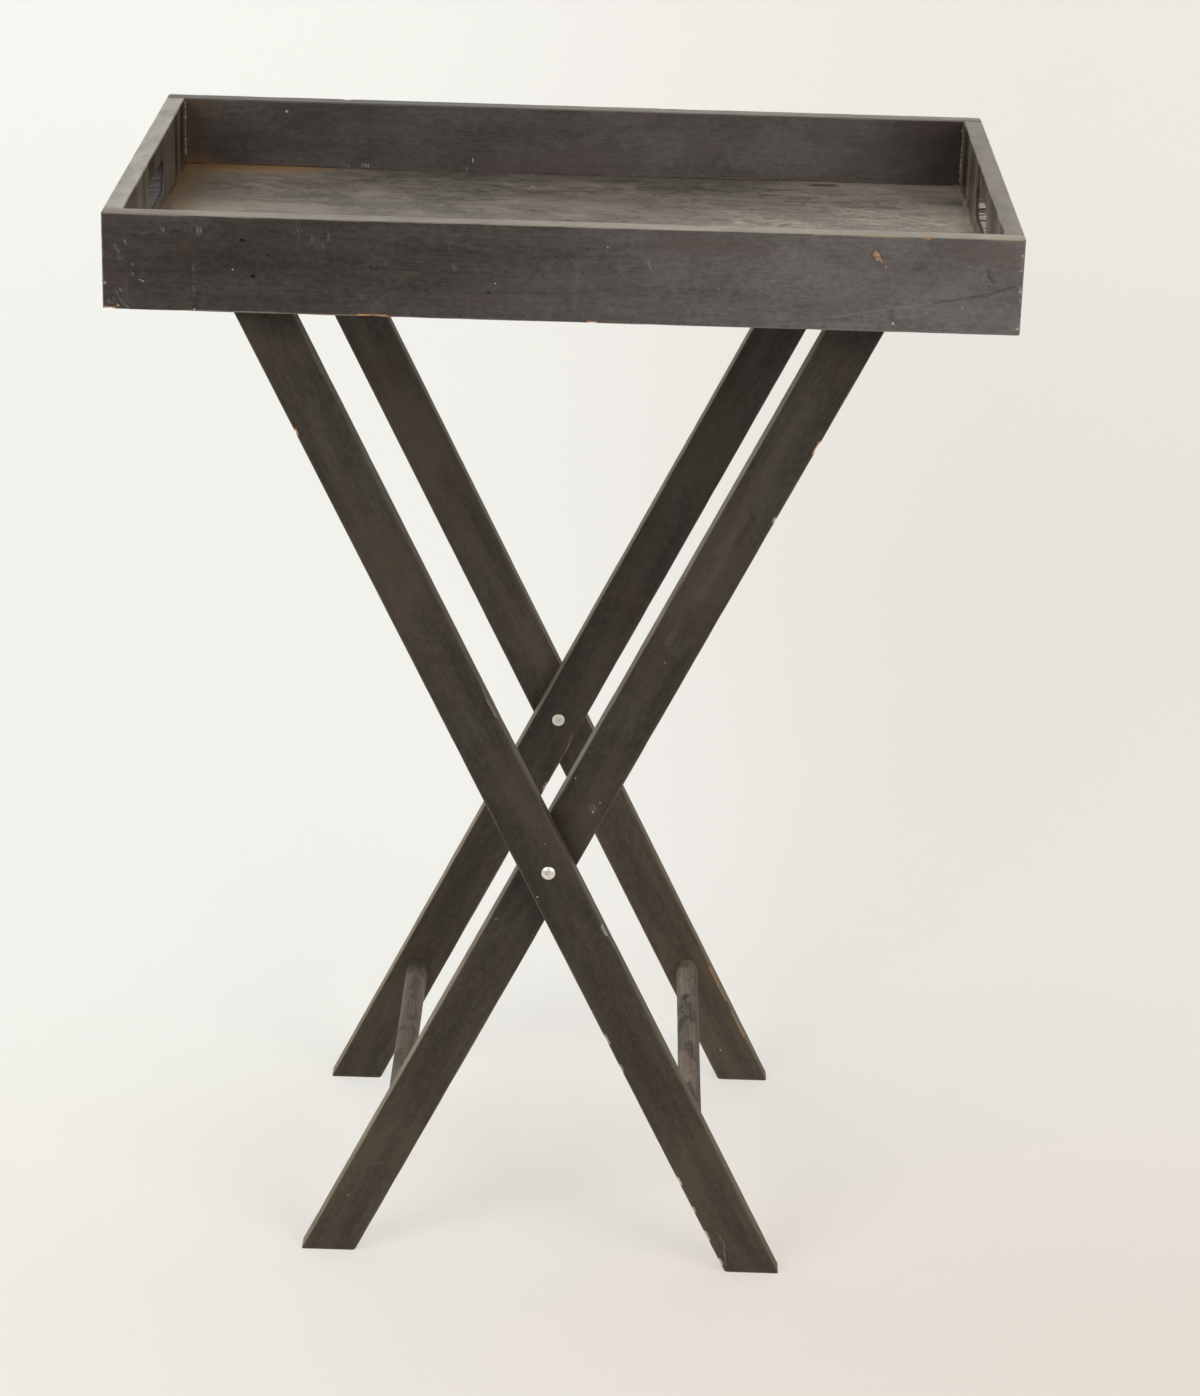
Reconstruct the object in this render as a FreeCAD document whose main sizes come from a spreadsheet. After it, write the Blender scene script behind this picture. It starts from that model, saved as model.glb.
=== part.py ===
import FreeCAD, Part
import os

import Sketcher

# A butlers tray on a folding stand.
# The frame: X along the tray, Y from front to back, Z up, origin on the ground under the middle.

doc = FreeCAD.newDocument("butlers_tray_table")
sheet = doc.addObject("Spreadsheet::Sheet", "sizes")

# Driving dimensions, in millimetres.
SIZES = (
    # The tray, outside and inside
    ("tray_length", "680"),
    ("tray_width", "415"),
    ("rim_height", "885"),
    ("well_depth", "55"),
    ("skirt_depth", "12"),
    ("wall_thick", "15"),
    ("wall_arris", "1.5"),
    # The floor panel and its tongue
    ("floor_thick", "6"),
    ("floor_gap", "0.2"),
    ("tongue_thick", "3"),
    ("tongue_reach", "5"),
    ("groove_play", "0.2"),
    # The hand holes in the ends
    ("hand_hole_length", "100"),
    ("hand_hole_height", "28"),
    ("hand_hole_sill", "10"),
    ("hand_hole_arris", "1.2"),
    # The pegs in the tray's corners
    ("peg_diameter", "6"),
    ("peg_in_wall", "8"),
    ("peg_in_end", "20"),
    ("peg_rise", "12"),
    ("peg_spacing", "26"),
    # Glued round joints: air at the side and past the end
    ("glue_gap", "0.05"),
    ("glue_pocket", "0.5"),
    # The cleats under the floor and their screws
    ("cleat_width", "15"),
    ("cleat_setback", "2"),
    ("cleat_inset", "55"),
    ("cleat_end_gap", "0.5"),
    ("stop_clearance", "0.3"),
    ("cleat_screw_diameter", "3"),
    ("cleat_screw_head", "6"),
    ("cleat_screw_bite", "4"),
    ("cleat_screw_spacing", "150"),
    ("screw_hole_gap", "0.1"),
    # The legs
    ("leg_width", "40"),
    ("leg_thick", "15"),
    ("leg_arris", "1"),
    ("stand_clearance", "10.5"),
    ("pivot_height", "355"),
    # The round rails between the legs
    ("dowel_diameter", "19"),
    ("dowel_chamfer", "1"),
    ("socket_depth", "10"),
    ("lower_dowel_height", "110"),
    ("upper_dowel_drop", "24"),
    # The pivots
    ("cap_diameter", "11"),
    ("cap_rim", "0.8"),
    ("cap_rise", "2"),
    ("barrel_diameter", "8"),
    ("barrel_setback", "2"),
    ("bore_depth", "20"),
    ("pivot_fit", "0.05"),
    ("pivot_play", "0.2"),
    ("washer_diameter", "18"),
    ("washer_thick", "2.3"),
    ("screw_diameter", "6"),
    ("screw_head_thick", "1.8"),
    ("screw_head_chamfer", "0.5"),
    ("screw_tip_gap", "1"),
    ("recess_span", "5"),
    ("recess_width", "1.3"),
    ("recess_depth", "1"),
)
for row, (alias, size) in enumerate(SIZES, start=1):
    sheet.set(f"A{row}", alias)
    sheet.set(f"B{row}", size)
    sheet.setAlias(f"B{row}", alias)
doc.recompute()

# Levels and lengths that follow from the sizes
FLOOR_TOP = "(sizes.rim_height - sizes.well_depth)"
FLOOR_UNDERSIDE = f"({FLOOR_TOP} - sizes.floor_thick)"
WALL_BOTTOM = f"({FLOOR_UNDERSIDE} - sizes.skirt_depth)"
INNER_LENGTH = "(sizes.tray_length - 2 * sizes.wall_thick)"
INNER_WIDTH = "(sizes.tray_width - 2 * sizes.wall_thick)"
GROOVE_DEPTH = "(sizes.tongue_reach + sizes.groove_play)"
GROOVE_TOP = f"({FLOOR_UNDERSIDE} + sizes.tongue_thick + sizes.groove_play)"
CLEAT_HEIGHT = "(sizes.skirt_depth - sizes.cleat_setback)"

# The legs' tops touch the floor panel, and their outer corners stop just short of the cleats.
# The lean follows from that corner and from the pivot, which is on the leg's centre line.
LEG_TOP = FLOOR_UNDERSIDE
TOP_CORNER = f"({INNER_LENGTH} / 2 - sizes.cleat_inset - sizes.cleat_width - sizes.stop_clearance)"
RISE = f"({LEG_TOP} - sizes.pivot_height)"
CORNER_REACH = f"sqrt({TOP_CORNER} ^ 2 + {RISE} ^ 2)"
LEAN = f"(atan({TOP_CORNER} / {RISE}) - asin(sizes.leg_width / 2 / {CORNER_REACH}))"
HALF_CUT = f"(sizes.leg_width / 2 / cos({LEAN}))"

# Distances of the legs' faces from the middle of the stand
OUTER_LEG_OUTSIDE = f"({INNER_WIDTH} / 2 - sizes.stand_clearance)"
OUTER_LEG_INSIDE = f"({OUTER_LEG_OUTSIDE} - sizes.leg_thick)"
INNER_LEG_OUTSIDE = f"({OUTER_LEG_INSIDE} - sizes.washer_thick - sizes.pivot_play)"
INNER_LEG_INSIDE = f"({INNER_LEG_OUTSIDE} - sizes.leg_thick)"
LOWER_DOWEL_HEIGHT = "sizes.lower_dowel_height"
UPPER_DOWEL_HEIGHT = f"({LEG_TOP} - sizes.upper_dowel_drop)"

# How far the inner frame turns until its legs meet the outer frame's lower dowel
DOWEL_REACH = f"((sizes.pivot_height - sizes.lower_dowel_height) / cos({LEAN}))"
FOLD = f"(2 * {LEAN} - asin((sizes.leg_width + sizes.dowel_diameter) / 2 / {DOWEL_REACH}))"

OUTER_LEAN = -1
INNER_LEAN = 1
FRONT = -1
BACK = 1
LEFT = -1
RIGHT = 1
NEAR = 0.001
ACROSS = FreeCAD.Rotation(FreeCAD.Vector(0, 0, 1), 180)
ALONG_Y = FreeCAD.Rotation(FreeCAD.Vector(1, 0, 0), -90)

pieces = []


def number(expression):
    """The value of an expression on the sheet."""
    return float(sheet.evalExpression(str(expression)))


def place(piece, x, y, z):
    """Bind where a piece stands."""
    for axis, expression in zip("xyz", (x, y, z)):
        piece.setExpression(f"Placement.Base.{axis}", str(expression))


def new_body(label, x="0", y="0", z="0", turned=False):
    """An empty body with its label and its place; a turned one faces the other way."""
    body = doc.addObject("PartDesign::Body", label)
    body.Label = label
    if turned:
        body.Placement = FreeCAD.Placement(FreeCAD.Vector(), ACROSS)
    place(body, x, y, z)
    pieces.append(body)
    return body


def new_sketch(body, name, role, lift="0"):
    """A sketch on one of the body's own planes, lifted off it along its normal."""
    sketch = body.newObject("Sketcher::SketchObject", f"{body.Name}_{name}")
    plane = next(item for item in body.Origin.OriginFeatures if item.Role == role)
    sketch.AttachmentSupport = [(plane, "")]
    sketch.MapMode = "FlatFace"
    sketch.setExpression("AttachmentOffset.Base.z", lift)
    return sketch


def pin(sketch, geometry, point, x, y):
    """Hold a point of a sketch at a distance from the sketch's origin."""
    for kind, expression in (("DistanceX", x), ("DistanceY", y)):
        constraint = Sketcher.Constraint(kind, -1, 1, geometry, point, number(expression))
        row = sketch.addConstraint(constraint)
        sketch.setExpression(f"Constraints[{row}]", expression)


def draw_outline(sketch, corners, centres=None):
    """A closed outline, counter-clockwise; centres maps an edge's index to its arc's centre."""
    centres = centres or {}
    spots = [FreeCAD.Vector(number(x), number(y), 0) for x, y in corners]
    count = len(corners)
    for index, start in enumerate(spots):
        end = spots[(index + 1) % count]
        if index in centres:
            middle = FreeCAD.Vector(*(number(value) for value in centres[index]), 0)
            circle = Part.Circle(middle, FreeCAD.Vector(0, 0, 1), (start - middle).Length)
            sketch.addGeometry(Part.ArcOfCircle(circle, circle.parameter(start), circle.parameter(end)))
        else:
            sketch.addGeometry(Part.LineSegment(start, end))
    for index, (x, y) in enumerate(corners):
        before = (index - 1) % count
        sketch.addConstraint(Sketcher.Constraint("Coincident", before, 2, index, 1))
        pin(sketch, index, 1, x, y)
    for index, (x, _) in centres.items():
        constraint = Sketcher.Constraint("DistanceX", -1, 1, index, 3, number(x))
        row = sketch.addConstraint(constraint)
        sketch.setExpression(f"Constraints[{row}]", x)


def draw_rectangle(sketch, left, bottom, right, top):
    """A rectangle from its two corners."""
    draw_outline(sketch, [(left, bottom), (right, bottom), (right, top), (left, top)])


def draw_circle(sketch, x, y, radius):
    """A circle about a pinned centre."""
    circle = Part.Circle(FreeCAD.Vector(number(x), number(y), 0), FreeCAD.Vector(0, 0, 1), number(radius))
    index = sketch.addGeometry(circle)
    pin(sketch, index, 3, x, y)
    row = sketch.addConstraint(Sketcher.Constraint("Radius", index, number(radius)))
    sketch.setExpression(f"Constraints[{row}]", radius)


def pad(body, sketch, length, reverse=False, both_ways=False):
    """Raise a sketch into a solid."""
    feature = body.newObject("PartDesign::Pad", f"{sketch.Name}_pad")
    feature.Profile = sketch
    feature.setExpression("Length", length)
    feature.Reversed = reverse
    feature.SideType = "Symmetric" if both_ways else "One side"
    doc.recompute()
    return feature


def pocket(body, sketch, depth, reverse=False):
    """Cut a sketch out of a body, and make sure that it took something away."""
    before = body.Tip.Shape.Volume
    feature = body.newObject("PartDesign::Pocket", f"{sketch.Name}_pocket")
    feature.Profile = sketch
    feature.setExpression("Length", depth)
    feature.Reversed = reverse
    doc.recompute()
    if not feature.Shape.Volume < before - NEAR:
        raise RuntimeError(f"{feature.Name} cuts nothing")
    return feature


def revolve(body, sketch):
    """Turn a half section about the sketch's upright axis."""
    feature = body.newObject("PartDesign::Revolution", f"{sketch.Name}_turned")
    feature.Profile = sketch
    feature.ReferenceAxis = (sketch, ["V_Axis"])
    feature.Angle = 360
    doc.recompute()
    return feature


def soften(body, name, radius, wanted):
    """Round the edges of a body's last feature that a test picks out."""
    base = body.Tip
    names = [f"Edge{index}" for index, edge in enumerate(base.Shape.Edges, start=1) if wanted(edge)]
    feature = body.newObject("PartDesign::Fillet", f"{body.Name}_{name}")
    feature.Base = (base, names)
    feature.setExpression("Radius", radius)
    doc.recompute()
    return feature


def runs_along(edge, axis):
    """Whether a straight edge lies along X, Y or Z."""
    ends = edge.Vertexes[-1].Point - edge.Vertexes[0].Point
    return ends.Length > NEAR and abs(abs(getattr(ends.normalize(), axis)) - 1) < NEAR


def peg_levels():
    """Heights of the pegs in one corner."""
    low = f"({FLOOR_TOP} + sizes.peg_rise)"
    return low, f"({low} + sizes.peg_spacing)"


def peg_centre(side):
    """Where the pegs stand along the tray: in the middle of an end wall's thickness."""
    return f"{side} * (sizes.tray_length - sizes.wall_thick) / 2"


PEG_SOCKET_RADIUS = "sizes.peg_diameter / 2 + sizes.glue_gap"


def long_wall(label, side):
    """Front or back wall: a full-length board with a stopped groove and sockets for the pegs."""
    outward_reversed = side == BACK
    body = new_body(label, y=f"{side} * {INNER_WIDTH} / 2")
    board = new_sketch(body, "board", "XZ_Plane")
    half = "sizes.tray_length / 2"
    draw_rectangle(board, f"-{half}", WALL_BOTTOM, half, "sizes.rim_height")
    pad(body, board, "sizes.wall_thick", reverse=outward_reversed)

    def is_free_edge(edge):
        return not (runs_along(edge, "z") and edge.BoundBox.Center.y * side < NEAR)

    soften(body, "arris", "sizes.wall_arris", is_free_edge)
    groove = new_sketch(body, "groove", "XZ_Plane")
    reach = f"({INNER_LENGTH} / 2 + {GROOVE_DEPTH})"
    draw_rectangle(groove, f"-{reach}", FLOOR_UNDERSIDE, reach, GROOVE_TOP)
    pocket(body, groove, GROOVE_DEPTH, reverse=not outward_reversed)
    sockets = new_sketch(body, "sockets", "XZ_Plane")
    for end in (LEFT, RIGHT):
        for level in peg_levels():
            draw_circle(sockets, peg_centre(end), level, PEG_SOCKET_RADIUS)
    pocket(body, sockets, "sizes.peg_in_wall + sizes.glue_pocket", reverse=not outward_reversed)


def end_wall(label, side):
    """Left or right wall: a board between the long walls, with a hand hole and a groove."""
    outward_reversed = side == LEFT
    body = new_body(label, x=f"{side} * {INNER_LENGTH} / 2")
    board = new_sketch(body, "board", "YZ_Plane")
    half = f"{INNER_WIDTH} / 2"
    draw_rectangle(board, f"-{half}", WALL_BOTTOM, half, "sizes.rim_height")
    pad(body, board, "sizes.wall_thick", reverse=outward_reversed)
    soften(body, "arris", "sizes.wall_arris", lambda edge: runs_along(edge, "y"))

    hole = new_sketch(body, "hand_hole", "YZ_Plane")
    low = f"({FLOOR_TOP} + sizes.hand_hole_sill)"
    high = f"({low} + sizes.hand_hole_height)"
    middle = f"({low} + sizes.hand_hole_height / 2)"
    straight = "(sizes.hand_hole_length - sizes.hand_hole_height) / 2"
    corners = [(f"-{straight}", low), (straight, low), (straight, high), (f"-{straight}", high)]
    draw_outline(hole, corners, centres={1: (straight, middle), 3: (f"-{straight}", middle)})
    pocket(body, hole, "sizes.wall_thick", reverse=not outward_reversed)
    reach = number("sizes.hand_hole_length / 2") + NEAR

    def is_rim_of_hole(edge):
        box = edge.BoundBox
        return box.XLength < NEAR and box.YMax < reach and box.YMin > -reach

    soften(body, "hand_hole_arris", "sizes.hand_hole_arris", is_rim_of_hole)
    groove = new_sketch(body, "groove", "YZ_Plane")
    draw_rectangle(groove, f"-{half}", FLOOR_UNDERSIDE, half, GROOVE_TOP)
    pocket(body, groove, GROOVE_DEPTH, reverse=not outward_reversed)
    for face, lift, reverse in (("front", half, False), ("back", f"-{half}", True)):
        sockets = new_sketch(body, f"{face}_sockets", "XZ_Plane", lift=lift)
        for level in peg_levels():
            draw_circle(sockets, f"{side} * sizes.wall_thick / 2", level, PEG_SOCKET_RADIUS)
        pocket(body, sockets, "sizes.peg_in_end + sizes.glue_pocket", reverse=reverse)


def group(label, solids):
    """Like pieces that share one node, each still a solid of its own."""
    compound = doc.addObject("Part::Compound", label)
    compound.Label = label
    compound.Links = solids
    pieces.append(compound)


def corner_pegs():
    """Glued pegs that cross the tray's butt corners."""
    solids = []
    for end in (LEFT, RIGHT):
        for side in (FRONT, BACK):
            inward = "sizes.peg_in_wall" if side == FRONT else "sizes.peg_in_end"
            for level in peg_levels():
                peg = doc.addObject("Part::Cylinder", "corner_peg")
                peg.Placement = FreeCAD.Placement(FreeCAD.Vector(), ALONG_Y)
                peg.setExpression("Radius", "sizes.peg_diameter / 2")
                peg.setExpression("Height", "sizes.peg_in_wall + sizes.peg_in_end")
                place(peg, peg_centre(end), f"{side} * {INNER_WIDTH} / 2 - {inward}", level)
                solids.append(peg)
    group("corner_pegs", solids)


CLEAT_MIDDLE = f"({TOP_CORNER} + sizes.stop_clearance + sizes.cleat_width / 2)"
CLEAT_BOTTOM = f"({FLOOR_UNDERSIDE} - {CLEAT_HEIGHT})"
CLEAT_SCREW_HOLE_RADIUS = "sizes.cleat_screw_diameter / 2 + sizes.screw_hole_gap"
SCREWS_PER_CLEAT = 3


def cleat_screw_places():
    """Offsets of one cleat's screws from the middle of the tray, front to back."""
    first = -(SCREWS_PER_CLEAT - 1) / 2
    return [f"{first + count} * sizes.cleat_screw_spacing" for count in range(SCREWS_PER_CLEAT)]


def tray_floor():
    """Floor panel: a tongue all round at the bottom, and the field that shows inside the walls."""
    body = new_body("tray_floor", z=FLOOR_UNDERSIDE)
    tongue = new_sketch(body, "tongue", "XY_Plane")
    long_half = f"({INNER_LENGTH} / 2 + sizes.tongue_reach)"
    short_half = f"({INNER_WIDTH} / 2 + sizes.tongue_reach)"
    draw_rectangle(tongue, f"-{long_half}", f"-{short_half}", long_half, short_half)
    pad(body, tongue, "sizes.tongue_thick")
    field = new_sketch(body, "field", "XY_Plane")
    long_half = f"({INNER_LENGTH} / 2 - sizes.floor_gap)"
    short_half = f"({INNER_WIDTH} / 2 - sizes.floor_gap)"
    draw_rectangle(field, f"-{long_half}", f"-{short_half}", long_half, short_half)
    pad(body, field, "sizes.floor_thick")
    pilots = new_sketch(body, "pilots", "XY_Plane")
    for side in (LEFT, RIGHT):
        for offset in cleat_screw_places():
            draw_circle(pilots, f"{side} * {CLEAT_MIDDLE}", offset, CLEAT_SCREW_HOLE_RADIUS)
    pocket(body, pilots, "sizes.cleat_screw_bite + sizes.screw_hole_gap", reverse=True)


def cleat(label, side):
    """Batten under the floor, just outside the tops of two legs, with countersunk holes."""
    body = new_body(label, x=f"{side} * {CLEAT_MIDDLE}", z=CLEAT_BOTTOM)
    bar = new_sketch(body, "bar", "XY_Plane")
    half_width = "sizes.cleat_width / 2"
    half_length = f"({INNER_WIDTH} / 2 - sizes.cleat_end_gap)"
    draw_rectangle(bar, f"-{half_width}", f"-{half_length}", half_width, half_length)
    pad(body, bar, CLEAT_HEIGHT)
    before = body.Tip.Shape.Volume
    centres = new_sketch(body, "screw_centres", "XY_Plane")
    for offset in cleat_screw_places():
        draw_circle(centres, "0", offset, CLEAT_SCREW_HOLE_RADIUS)
    doc.recompute()
    holes = body.newObject("PartDesign::Hole", f"{label}_holes")
    holes.Profile = centres
    holes.Reversed = True
    holes.DepthType = "ThroughAll"
    holes.HoleCutType = "Countersink"
    holes.HoleCutCustomValues = True
    holes.HoleCutCountersinkAngle = 90
    holes.setExpression("Diameter", f"2 * ({CLEAT_SCREW_HOLE_RADIUS})")
    holes.setExpression("HoleCutDiameter", "sizes.cleat_screw_head + 2 * sizes.screw_hole_gap")
    doc.recompute()
    if not holes.Shape.Volume < before - NEAR:
        raise RuntimeError(f"{holes.Name} cuts nothing")


def cleat_screws():
    """Countersunk screws, each a shank with a conical head flush with the cleat's underside."""
    solids = []
    for side in (LEFT, RIGHT):
        for offset in cleat_screw_places():
            shank = doc.addObject("Part::Cylinder", "cleat_screw_shank")
            shank.setExpression("Radius", "sizes.cleat_screw_diameter / 2")
            shank.setExpression("Height", f"{CLEAT_HEIGHT} + sizes.cleat_screw_bite")
            head = doc.addObject("Part::Cone", "cleat_screw_head")
            head.setExpression("Radius1", "sizes.cleat_screw_head / 2")
            head.setExpression("Radius2", "sizes.cleat_screw_diameter / 2")
            head.setExpression("Height", "(sizes.cleat_screw_head - sizes.cleat_screw_diameter) / 2")
            screw = doc.addObject("Part::Fuse", "cleat_screw")
            screw.Base = shank
            screw.Tool = head
            place(screw, f"{side} * {CLEAT_MIDDLE}", offset, CLEAT_BOTTOM)
            solids.append(screw)
    group("cleat_screws", solids)


def leg_centre(lean, height):
    """How far from the pivot, along X, a leg's centre line is at a height."""
    return f"{lean} * ({height} - sizes.pivot_height) * tan({LEAN})"


def leg(label, lean, side, inside):
    """One leg: a flat board cut level at both ends, drilled for the pivot and for two dowels."""
    outward_reversed = side == BACK
    body = new_body(label, y=f"{side} * {inside}")
    board = new_sketch(body, "board", "XZ_Plane")
    foot = leg_centre(lean, "0")
    top = leg_centre(lean, LEG_TOP)
    corners = [
        (f"{foot} - {HALF_CUT}", "0"),
        (f"{foot} + {HALF_CUT}", "0"),
        (f"{top} + {HALF_CUT}", LEG_TOP),
        (f"{top} - {HALF_CUT}", LEG_TOP),
    ]
    draw_outline(board, corners)
    pad(body, board, "sizes.leg_thick", reverse=outward_reversed)
    soften(body, "arris", "sizes.leg_arris", lambda edge: edge.BoundBox.ZLength > NEAR)
    pivot = new_sketch(body, "pivot", "XZ_Plane")
    draw_circle(pivot, "0", "sizes.pivot_height", "sizes.barrel_diameter / 2 + sizes.pivot_fit")
    pocket(body, pivot, "sizes.leg_thick", reverse=not outward_reversed)
    sockets = new_sketch(body, "sockets", "XZ_Plane")
    for height in (LOWER_DOWEL_HEIGHT, UPPER_DOWEL_HEIGHT):
        draw_circle(sockets, leg_centre(lean, height), height, "sizes.dowel_diameter / 2 + sizes.glue_gap")
    pocket(body, sockets, "sizes.socket_depth", reverse=not outward_reversed)


def dowel(label, lean, height, inside):
    """Round rail between the two legs of a frame, glued into their sockets."""
    body = new_body(label, x=leg_centre(lean, height), z=height)
    section = new_sketch(body, "section", "XZ_Plane")
    draw_circle(section, "0", "0", "sizes.dowel_diameter / 2")
    rod = pad(body, section, f"2 * ({inside} + sizes.socket_depth)", both_ways=True)
    ends = [f"Edge{index}" for index, edge in enumerate(rod.Shape.Edges, start=1) if len(edge.Vertexes) == 1]
    chamfer = body.newObject("PartDesign::Chamfer", f"{label}_chamfer")
    chamfer.Base = (rod, ends)
    chamfer.setExpression("Size", "sizes.dowel_chamfer")
    doc.recompute()


BARREL_LENGTH = f"({OUTER_LEG_OUTSIDE} - {INNER_LEG_INSIDE} - sizes.barrel_setback)"


def pivot_sleeve(label, turned, side):
    """Domed cap on the outer leg's outside, and the barrel that both legs turn on."""
    body = new_body(label, y=f"{side} * {OUTER_LEG_OUTSIDE}", z="sizes.pivot_height", turned=turned)
    section = new_sketch(body, "section", "XY_Plane")
    crown = "-(sizes.cap_rim + sizes.cap_rise)"
    cap_radius = "sizes.cap_diameter / 2"
    dome_radius = f"(({cap_radius}) ^ 2 + sizes.cap_rise ^ 2) / (2 * sizes.cap_rise)"
    barrel_radius = "sizes.barrel_diameter / 2"
    bore_radius = "sizes.screw_diameter / 2 + sizes.glue_gap"
    bore_end = f"{BARREL_LENGTH} - sizes.bore_depth"
    corners = [
        ("0", crown),
        (cap_radius, "-sizes.cap_rim"),
        (cap_radius, "0"),
        (barrel_radius, "0"),
        (barrel_radius, BARREL_LENGTH),
        (bore_radius, BARREL_LENGTH),
        (bore_radius, bore_end),
        ("0", bore_end),
    ]
    draw_outline(section, corners, centres={0: ("0", f"{crown} + {dome_radius}")})
    revolve(body, section)


def pivot_screw(label, turned, side):
    """Flat-headed screw that enters the barrel from the inner leg's inside."""
    seat = f"({INNER_LEG_INSIDE} - sizes.pivot_play)"
    body = new_body(label, y=f"{side} * {seat}", z="sizes.pivot_height", turned=turned)
    section = new_sketch(body, "section", "XY_Plane")
    face = "-sizes.screw_head_thick"
    head_radius = "sizes.cap_diameter / 2"
    shank_radius = "sizes.screw_diameter / 2"
    tip = "sizes.pivot_play + sizes.barrel_setback + sizes.bore_depth - sizes.screw_tip_gap"
    corners = [
        ("0", face),
        (f"{head_radius} - sizes.screw_head_chamfer", face),
        (head_radius, f"{face} + sizes.screw_head_chamfer"),
        (head_radius, "0"),
        (shank_radius, "0"),
        (shank_radius, tip),
        ("0", tip),
    ]
    draw_outline(section, corners)
    revolve(body, section)
    long_half = "sizes.recess_span / 2"
    short_half = "sizes.recess_width / 2"
    for name, across, up in (("level", long_half, short_half), ("upright", short_half, long_half)):
        arm = new_sketch(body, f"{name}_recess", "XZ_Plane", lift="sizes.screw_head_thick")
        draw_rectangle(arm, f"-{across}", f"-{up}", across, up)
        pocket(body, arm, "sizes.recess_depth")


def pivot_washer(label, turned, side):
    """Spacer ring round the barrel, between the two legs."""
    body = new_body(label, y=f"{side} * {OUTER_LEG_INSIDE}", z="sizes.pivot_height", turned=turned)
    ring = new_sketch(body, "ring", "XZ_Plane")
    draw_circle(ring, "0", "0", "sizes.washer_diameter / 2")
    draw_circle(ring, "0", "0", "sizes.barrel_diameter / 2 + sizes.pivot_fit")
    pad(body, ring, "sizes.washer_thick", reverse=True)


long_wall("tray_front_wall", FRONT)
long_wall("tray_back_wall", BACK)
end_wall("tray_left_end", LEFT)
end_wall("tray_right_end", RIGHT)
corner_pegs()
tray_floor()
cleat("tray_cleat_left", LEFT)
cleat("tray_cleat_right", RIGHT)
cleat_screws()

for frame, lean, inside in (("outer", OUTER_LEAN, OUTER_LEG_INSIDE), ("inner", INNER_LEAN, INNER_LEG_INSIDE)):
    leg(f"{frame}_front_leg", lean, FRONT, inside)
    leg(f"{frame}_back_leg", lean, BACK, inside)
    dowel(f"{frame}_lower_dowel", lean, LOWER_DOWEL_HEIGHT, inside)
    dowel(f"{frame}_upper_dowel", lean, UPPER_DOWEL_HEIGHT, inside)

for end, side in (("front", FRONT), ("back", BACK)):
    at_back = side == BACK
    pivot_sleeve(f"{end}_pivot_sleeve", at_back, side)
    pivot_washer(f"{end}_pivot_washer", at_back, side)
    pivot_screw(f"{end}_pivot_screw", not at_back, side)

doc.recompute()
for item in doc.Objects:
    if {"Invalid", "Error"} & set(item.State):
        raise RuntimeError(f"{item.Name} failed: {item.State}")
for piece in pieces:
    if piece.Shape.isNull() or not piece.Shape.isValid():
        raise RuntimeError(f"{piece.Label} has no valid shape")

os.makedirs("parts", exist_ok=True)
for piece in pieces:
    piece.Shape.exportStep(f"parts/{piece.Label}.step")
    box = piece.Shape.BoundBox
    print(f"{piece.Label}: {len(piece.Shape.Solids)} solid, {piece.Shape.Volume:.0f} mm3,"
          f" x {box.XMin:.1f} to {box.XMax:.1f}, y {box.YMin:.1f} to {box.YMax:.1f},"
          f" z {box.ZMin:.1f} to {box.ZMax:.1f}")
print(f"legs lean {number(LEAN):.2f} degrees, and fold by {number(FOLD):.1f} before they meet a dowel")
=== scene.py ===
# %% [markdown]
# # A butlers tray table, dressed over its CAD frame
# The CAD model gives every board, rail and pivot its place. This lesson keeps that frame and
# rebuilds what the eye sees: planed boards with worn arrises, a dark stain that has rubbed thin,
# old glue in the tray's corners and two bright pivots. Everything is in metres, in the CAD frame.

# %% Load the frame
import math
from collections import namedtuple

import bmesh
import bpy
from mathutils import Euler, Matrix, Vector, noise


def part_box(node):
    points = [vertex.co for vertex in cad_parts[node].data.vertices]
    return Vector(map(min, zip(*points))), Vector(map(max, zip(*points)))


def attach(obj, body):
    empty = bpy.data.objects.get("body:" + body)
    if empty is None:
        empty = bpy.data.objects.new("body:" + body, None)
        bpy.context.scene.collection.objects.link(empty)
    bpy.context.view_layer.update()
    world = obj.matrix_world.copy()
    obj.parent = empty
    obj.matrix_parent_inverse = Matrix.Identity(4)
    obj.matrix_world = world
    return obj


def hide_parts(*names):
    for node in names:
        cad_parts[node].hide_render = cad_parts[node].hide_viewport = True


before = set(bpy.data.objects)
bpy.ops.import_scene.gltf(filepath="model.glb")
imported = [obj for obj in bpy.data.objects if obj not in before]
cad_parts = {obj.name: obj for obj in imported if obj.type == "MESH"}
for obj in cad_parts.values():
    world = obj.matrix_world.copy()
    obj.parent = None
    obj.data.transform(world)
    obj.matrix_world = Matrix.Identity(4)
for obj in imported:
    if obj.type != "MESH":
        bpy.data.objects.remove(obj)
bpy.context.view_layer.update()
scene = bpy.context.scene
scene.view_settings.view_transform = "Standard"
MM = 0.001

# %% [markdown]
# ## The camera
# The photographer stood about three metres off, a little above the tray, and held the camera not
# quite level. A camera could be aimed with a tracking constraint, but that can't tilt it, so its
# three axes are worked out from yaw, pitch and roll and put straight into its matrix.

# %% Camera
CAMERA_PLACE = Vector((0.0452, -2.8802, 1.5498))
CAMERA_YAW, CAMERA_PITCH, CAMERA_ROLL = (math.radians(v) for v in (-0.177, 21.171, -1.66))
CAMERA_LENS, SENSOR_WIDTH = 96.04, 36.0


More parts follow.
